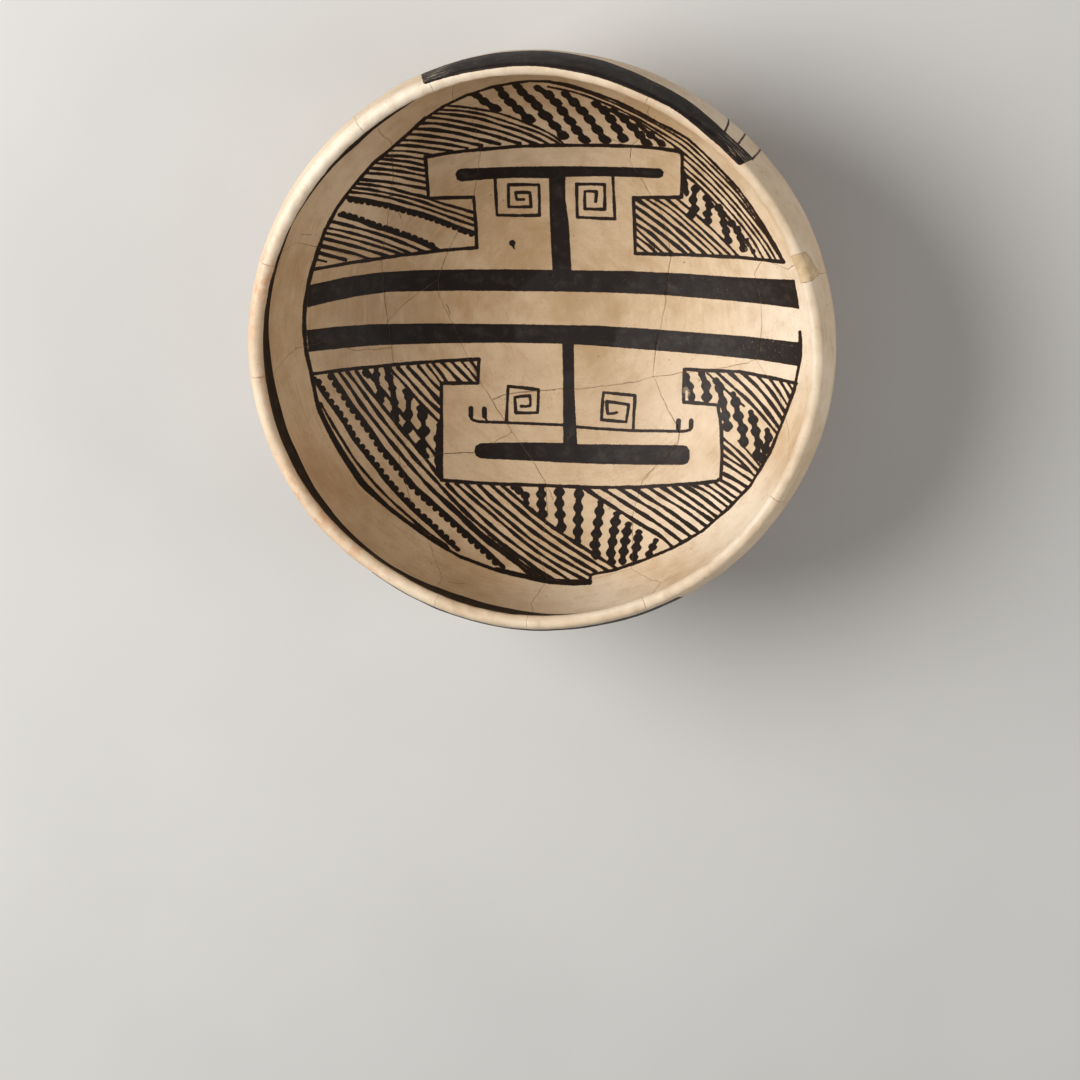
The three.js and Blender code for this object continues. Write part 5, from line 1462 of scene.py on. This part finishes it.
def make_film(name, line_name):
    p = dense_break(BREAKS[line_name])
    r = np.hypot(p[:, 0], p[:, 1])
    p = p[r < 184.0]
    if len(p) % 1 == 0 and r[0] < S_TOP - 1 and line_name not in ("west", "middle", "east"):
        p = p[1:]
    if r[-1] < S_TOP - 1 and line_name not in ("west", "middle", "east"):
        p = p[:-1]
    s = np.hypot(p[:, 0], p[:, 1])
    t = np.gradient(p, axis=0)
    t /= np.hypot(t[:, 0], t[:, 1])[:, None]
    n = np.stack([-t[:, 1], t[:, 0]], -1)
    half = GAP - 0.006
    corners = []
    for inside, sg in ((True, 1), (True, -1), (False, -1), (False, 1)):
        q = p + n * half * sg
        v, _ = surface(q[:, 0], q[:, 1], inside)
        sunk = -0.035 - 0.10 * np.clip(join_shown(v, s, inside), 0, 1) * (0.6 + 0.4 * np.clip(n_wear(v), -1, 1))
        w, _ = surface(p[:, 0], p[:, 1], inside, extra=sunk)
        c, _ = surface(p[:, 0], p[:, 1], inside)
        corners.append(v + (w - c))
    m = len(p)
    verts = np.stack(corners, 1).reshape(-1, 3)
    tris = []
    for i in range(m - 1):
        for k in range(4):
            a, b = 4 * i + k, 4 * i + (k + 1) % 4
            c, d = b + 4, a + 4
            tris += [(a, b, c), (a, c, d)]
    e = 4 * (m - 1)
    tris += [(0, 2, 1), (0, 3, 2), (e, e + 1, e + 2), (e, e + 2, e + 3)]
    tris = np.array(tris)
    # faces point out of the strip
    c0 = verts.reshape(-1, 4, 3).mean(1)
    f = verts[tris[0]]
    nrm = np.cross(f[1] - f[0], f[2] - f[0])
    if nrm @ (f.mean(0) - c0[0]) < 0:
        tris = tris[:, ::-1]
    ob = new_object("joint_" + name, verts, tris, np.zeros(len(tris), bool), [GLUE])
    add_floats(ob.data, show=np.tile([1.0, 1.0, 0.1, 0.1], m) * np.repeat(np.clip(0.45 + 0.4 * n_join(c0), 0.05, 1), 4))
    layer = ob.data.uv_layers.new(name="OFBake")
    L = np.arange(m) / max(m - 1, 1)
    uv = np.zeros((len(tris) * 3, 2), np.float32)
    w = tris.ravel()
    uv[:, 0] = L[w // 4] * 0.98 + 0.01
    k = np.repeat(np.arange(len(tris)) // 2 % 4, 3)
    corner = w % 4
    up = np.where(corner == (k + 1) % 4, 1.0, 0.0)
    uv[:, 1] = 0.02 + 0.24 * k + 0.2 * up
    layer.data.foreach_set("uv", uv.ravel())
    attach(ob, "root")
    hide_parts(name)
    return ob


for film, line_name in FILMS.items():
    make_film(film, line_name)

# ======================================================================
# Floor, light and camera
# ======================================================================


def make_floor():
    me = bpy.data.meshes.new("studio_floor")
    k = 3.0
    me.from_pydata([(-k, -k, 0), (k, -k, 0), (k, k, 0), (-k, k, 0)], [], [(0, 1, 2, 3)])
    ob = bpy.data.objects.new("studio_floor", me)
    bpy.context.scene.collection.objects.link(ob)
    n = Nodes("pale_floor")
    P = n.position((1.0, 1.0, 1.0))
    v = n.noise(P, 6.0, 3, 0.5)
    n.link(n.mix(n.ramp(v, 0.3, 0.7), (0.60, 0.595, 0.585, 1), (0.63, 0.625, 0.615, 1)), n.bsdf.inputs["Base Color"])
    n.link(n.ramp(v, 0.3, 0.7, 0.75, 0.85), n.bsdf.inputs["Roughness"])
    me.materials.append(n.mat)


make_floor()

scene = bpy.context.scene
scene.view_settings.view_transform = "Standard"
scene.view_settings.look = "Medium High Contrast"

eye = (AIM + VIEW_DIST * TO_EYE) * MM
f_px = VIEW_SCALE * VIEW_DIST
cx, cy = (VIEW_C[0] - 540) / f_px, (540 - VIEW_C[1]) / f_px
axis = -TO_EYE - cx * RIGHT - cy * UP
axis /= np.linalg.norm(axis)
right = RIGHT - (RIGHT @ axis) * axis
right /= np.linalg.norm(right)
up = np.cross(right, axis)
cam = bpy.data.cameras.new("camera")
cam.sensor_width = 36.0
cam.lens = f_px / 1080 * 36.0
cam.clip_start, cam.clip_end = 0.05, 20
cam_ob = bpy.data.objects.new("camera", cam)
scene.collection.objects.link(cam_ob)
M = Matrix.Identity(4)
for r_ in range(3):
    M[r_][0], M[r_][1], M[r_][2], M[r_][3] = right[r_], up[r_], -axis[r_], eye[r_]
cam_ob.matrix_world = M
scene.camera = cam_ob


def area(name, direction, distance, size, power, colour):
    d = np.asarray(direction, float)
    d /= np.linalg.norm(d)
    li = bpy.data.lights.new(name, "AREA")
    li.shape, li.size, li.energy, li.color = "DISK", size, power, colour
    ob = bpy.data.objects.new(name, li)
    scene.collection.objects.link(ob)
    target = Vector((0, 0, 0.05))
    ob.location = target + Vector(d) * distance
    ob.rotation_mode = "QUATERNION"
    ob.rotation_quaternion = Vector(-d).to_track_quat("-Z", "Y")


area("key", -1.0 * RIGHT + 0.10 * UP + 0.76 * TO_EYE, 1.5, 1.15, 22.0, (1.0, 0.985, 0.96))
area("fill", 1.0 * RIGHT - 0.20 * UP + 0.80 * TO_EYE, 1.5, 0.7, 5.0, (1.0, 0.985, 0.965))
world = bpy.data.worlds.new("studio")
scene.world = world
world.use_nodes = True
bg = world.node_tree.nodes.get("Background")
bg.inputs[0].default_value = (1.0, 0.99, 0.975, 1)
bg.inputs[1].default_value = 0.21
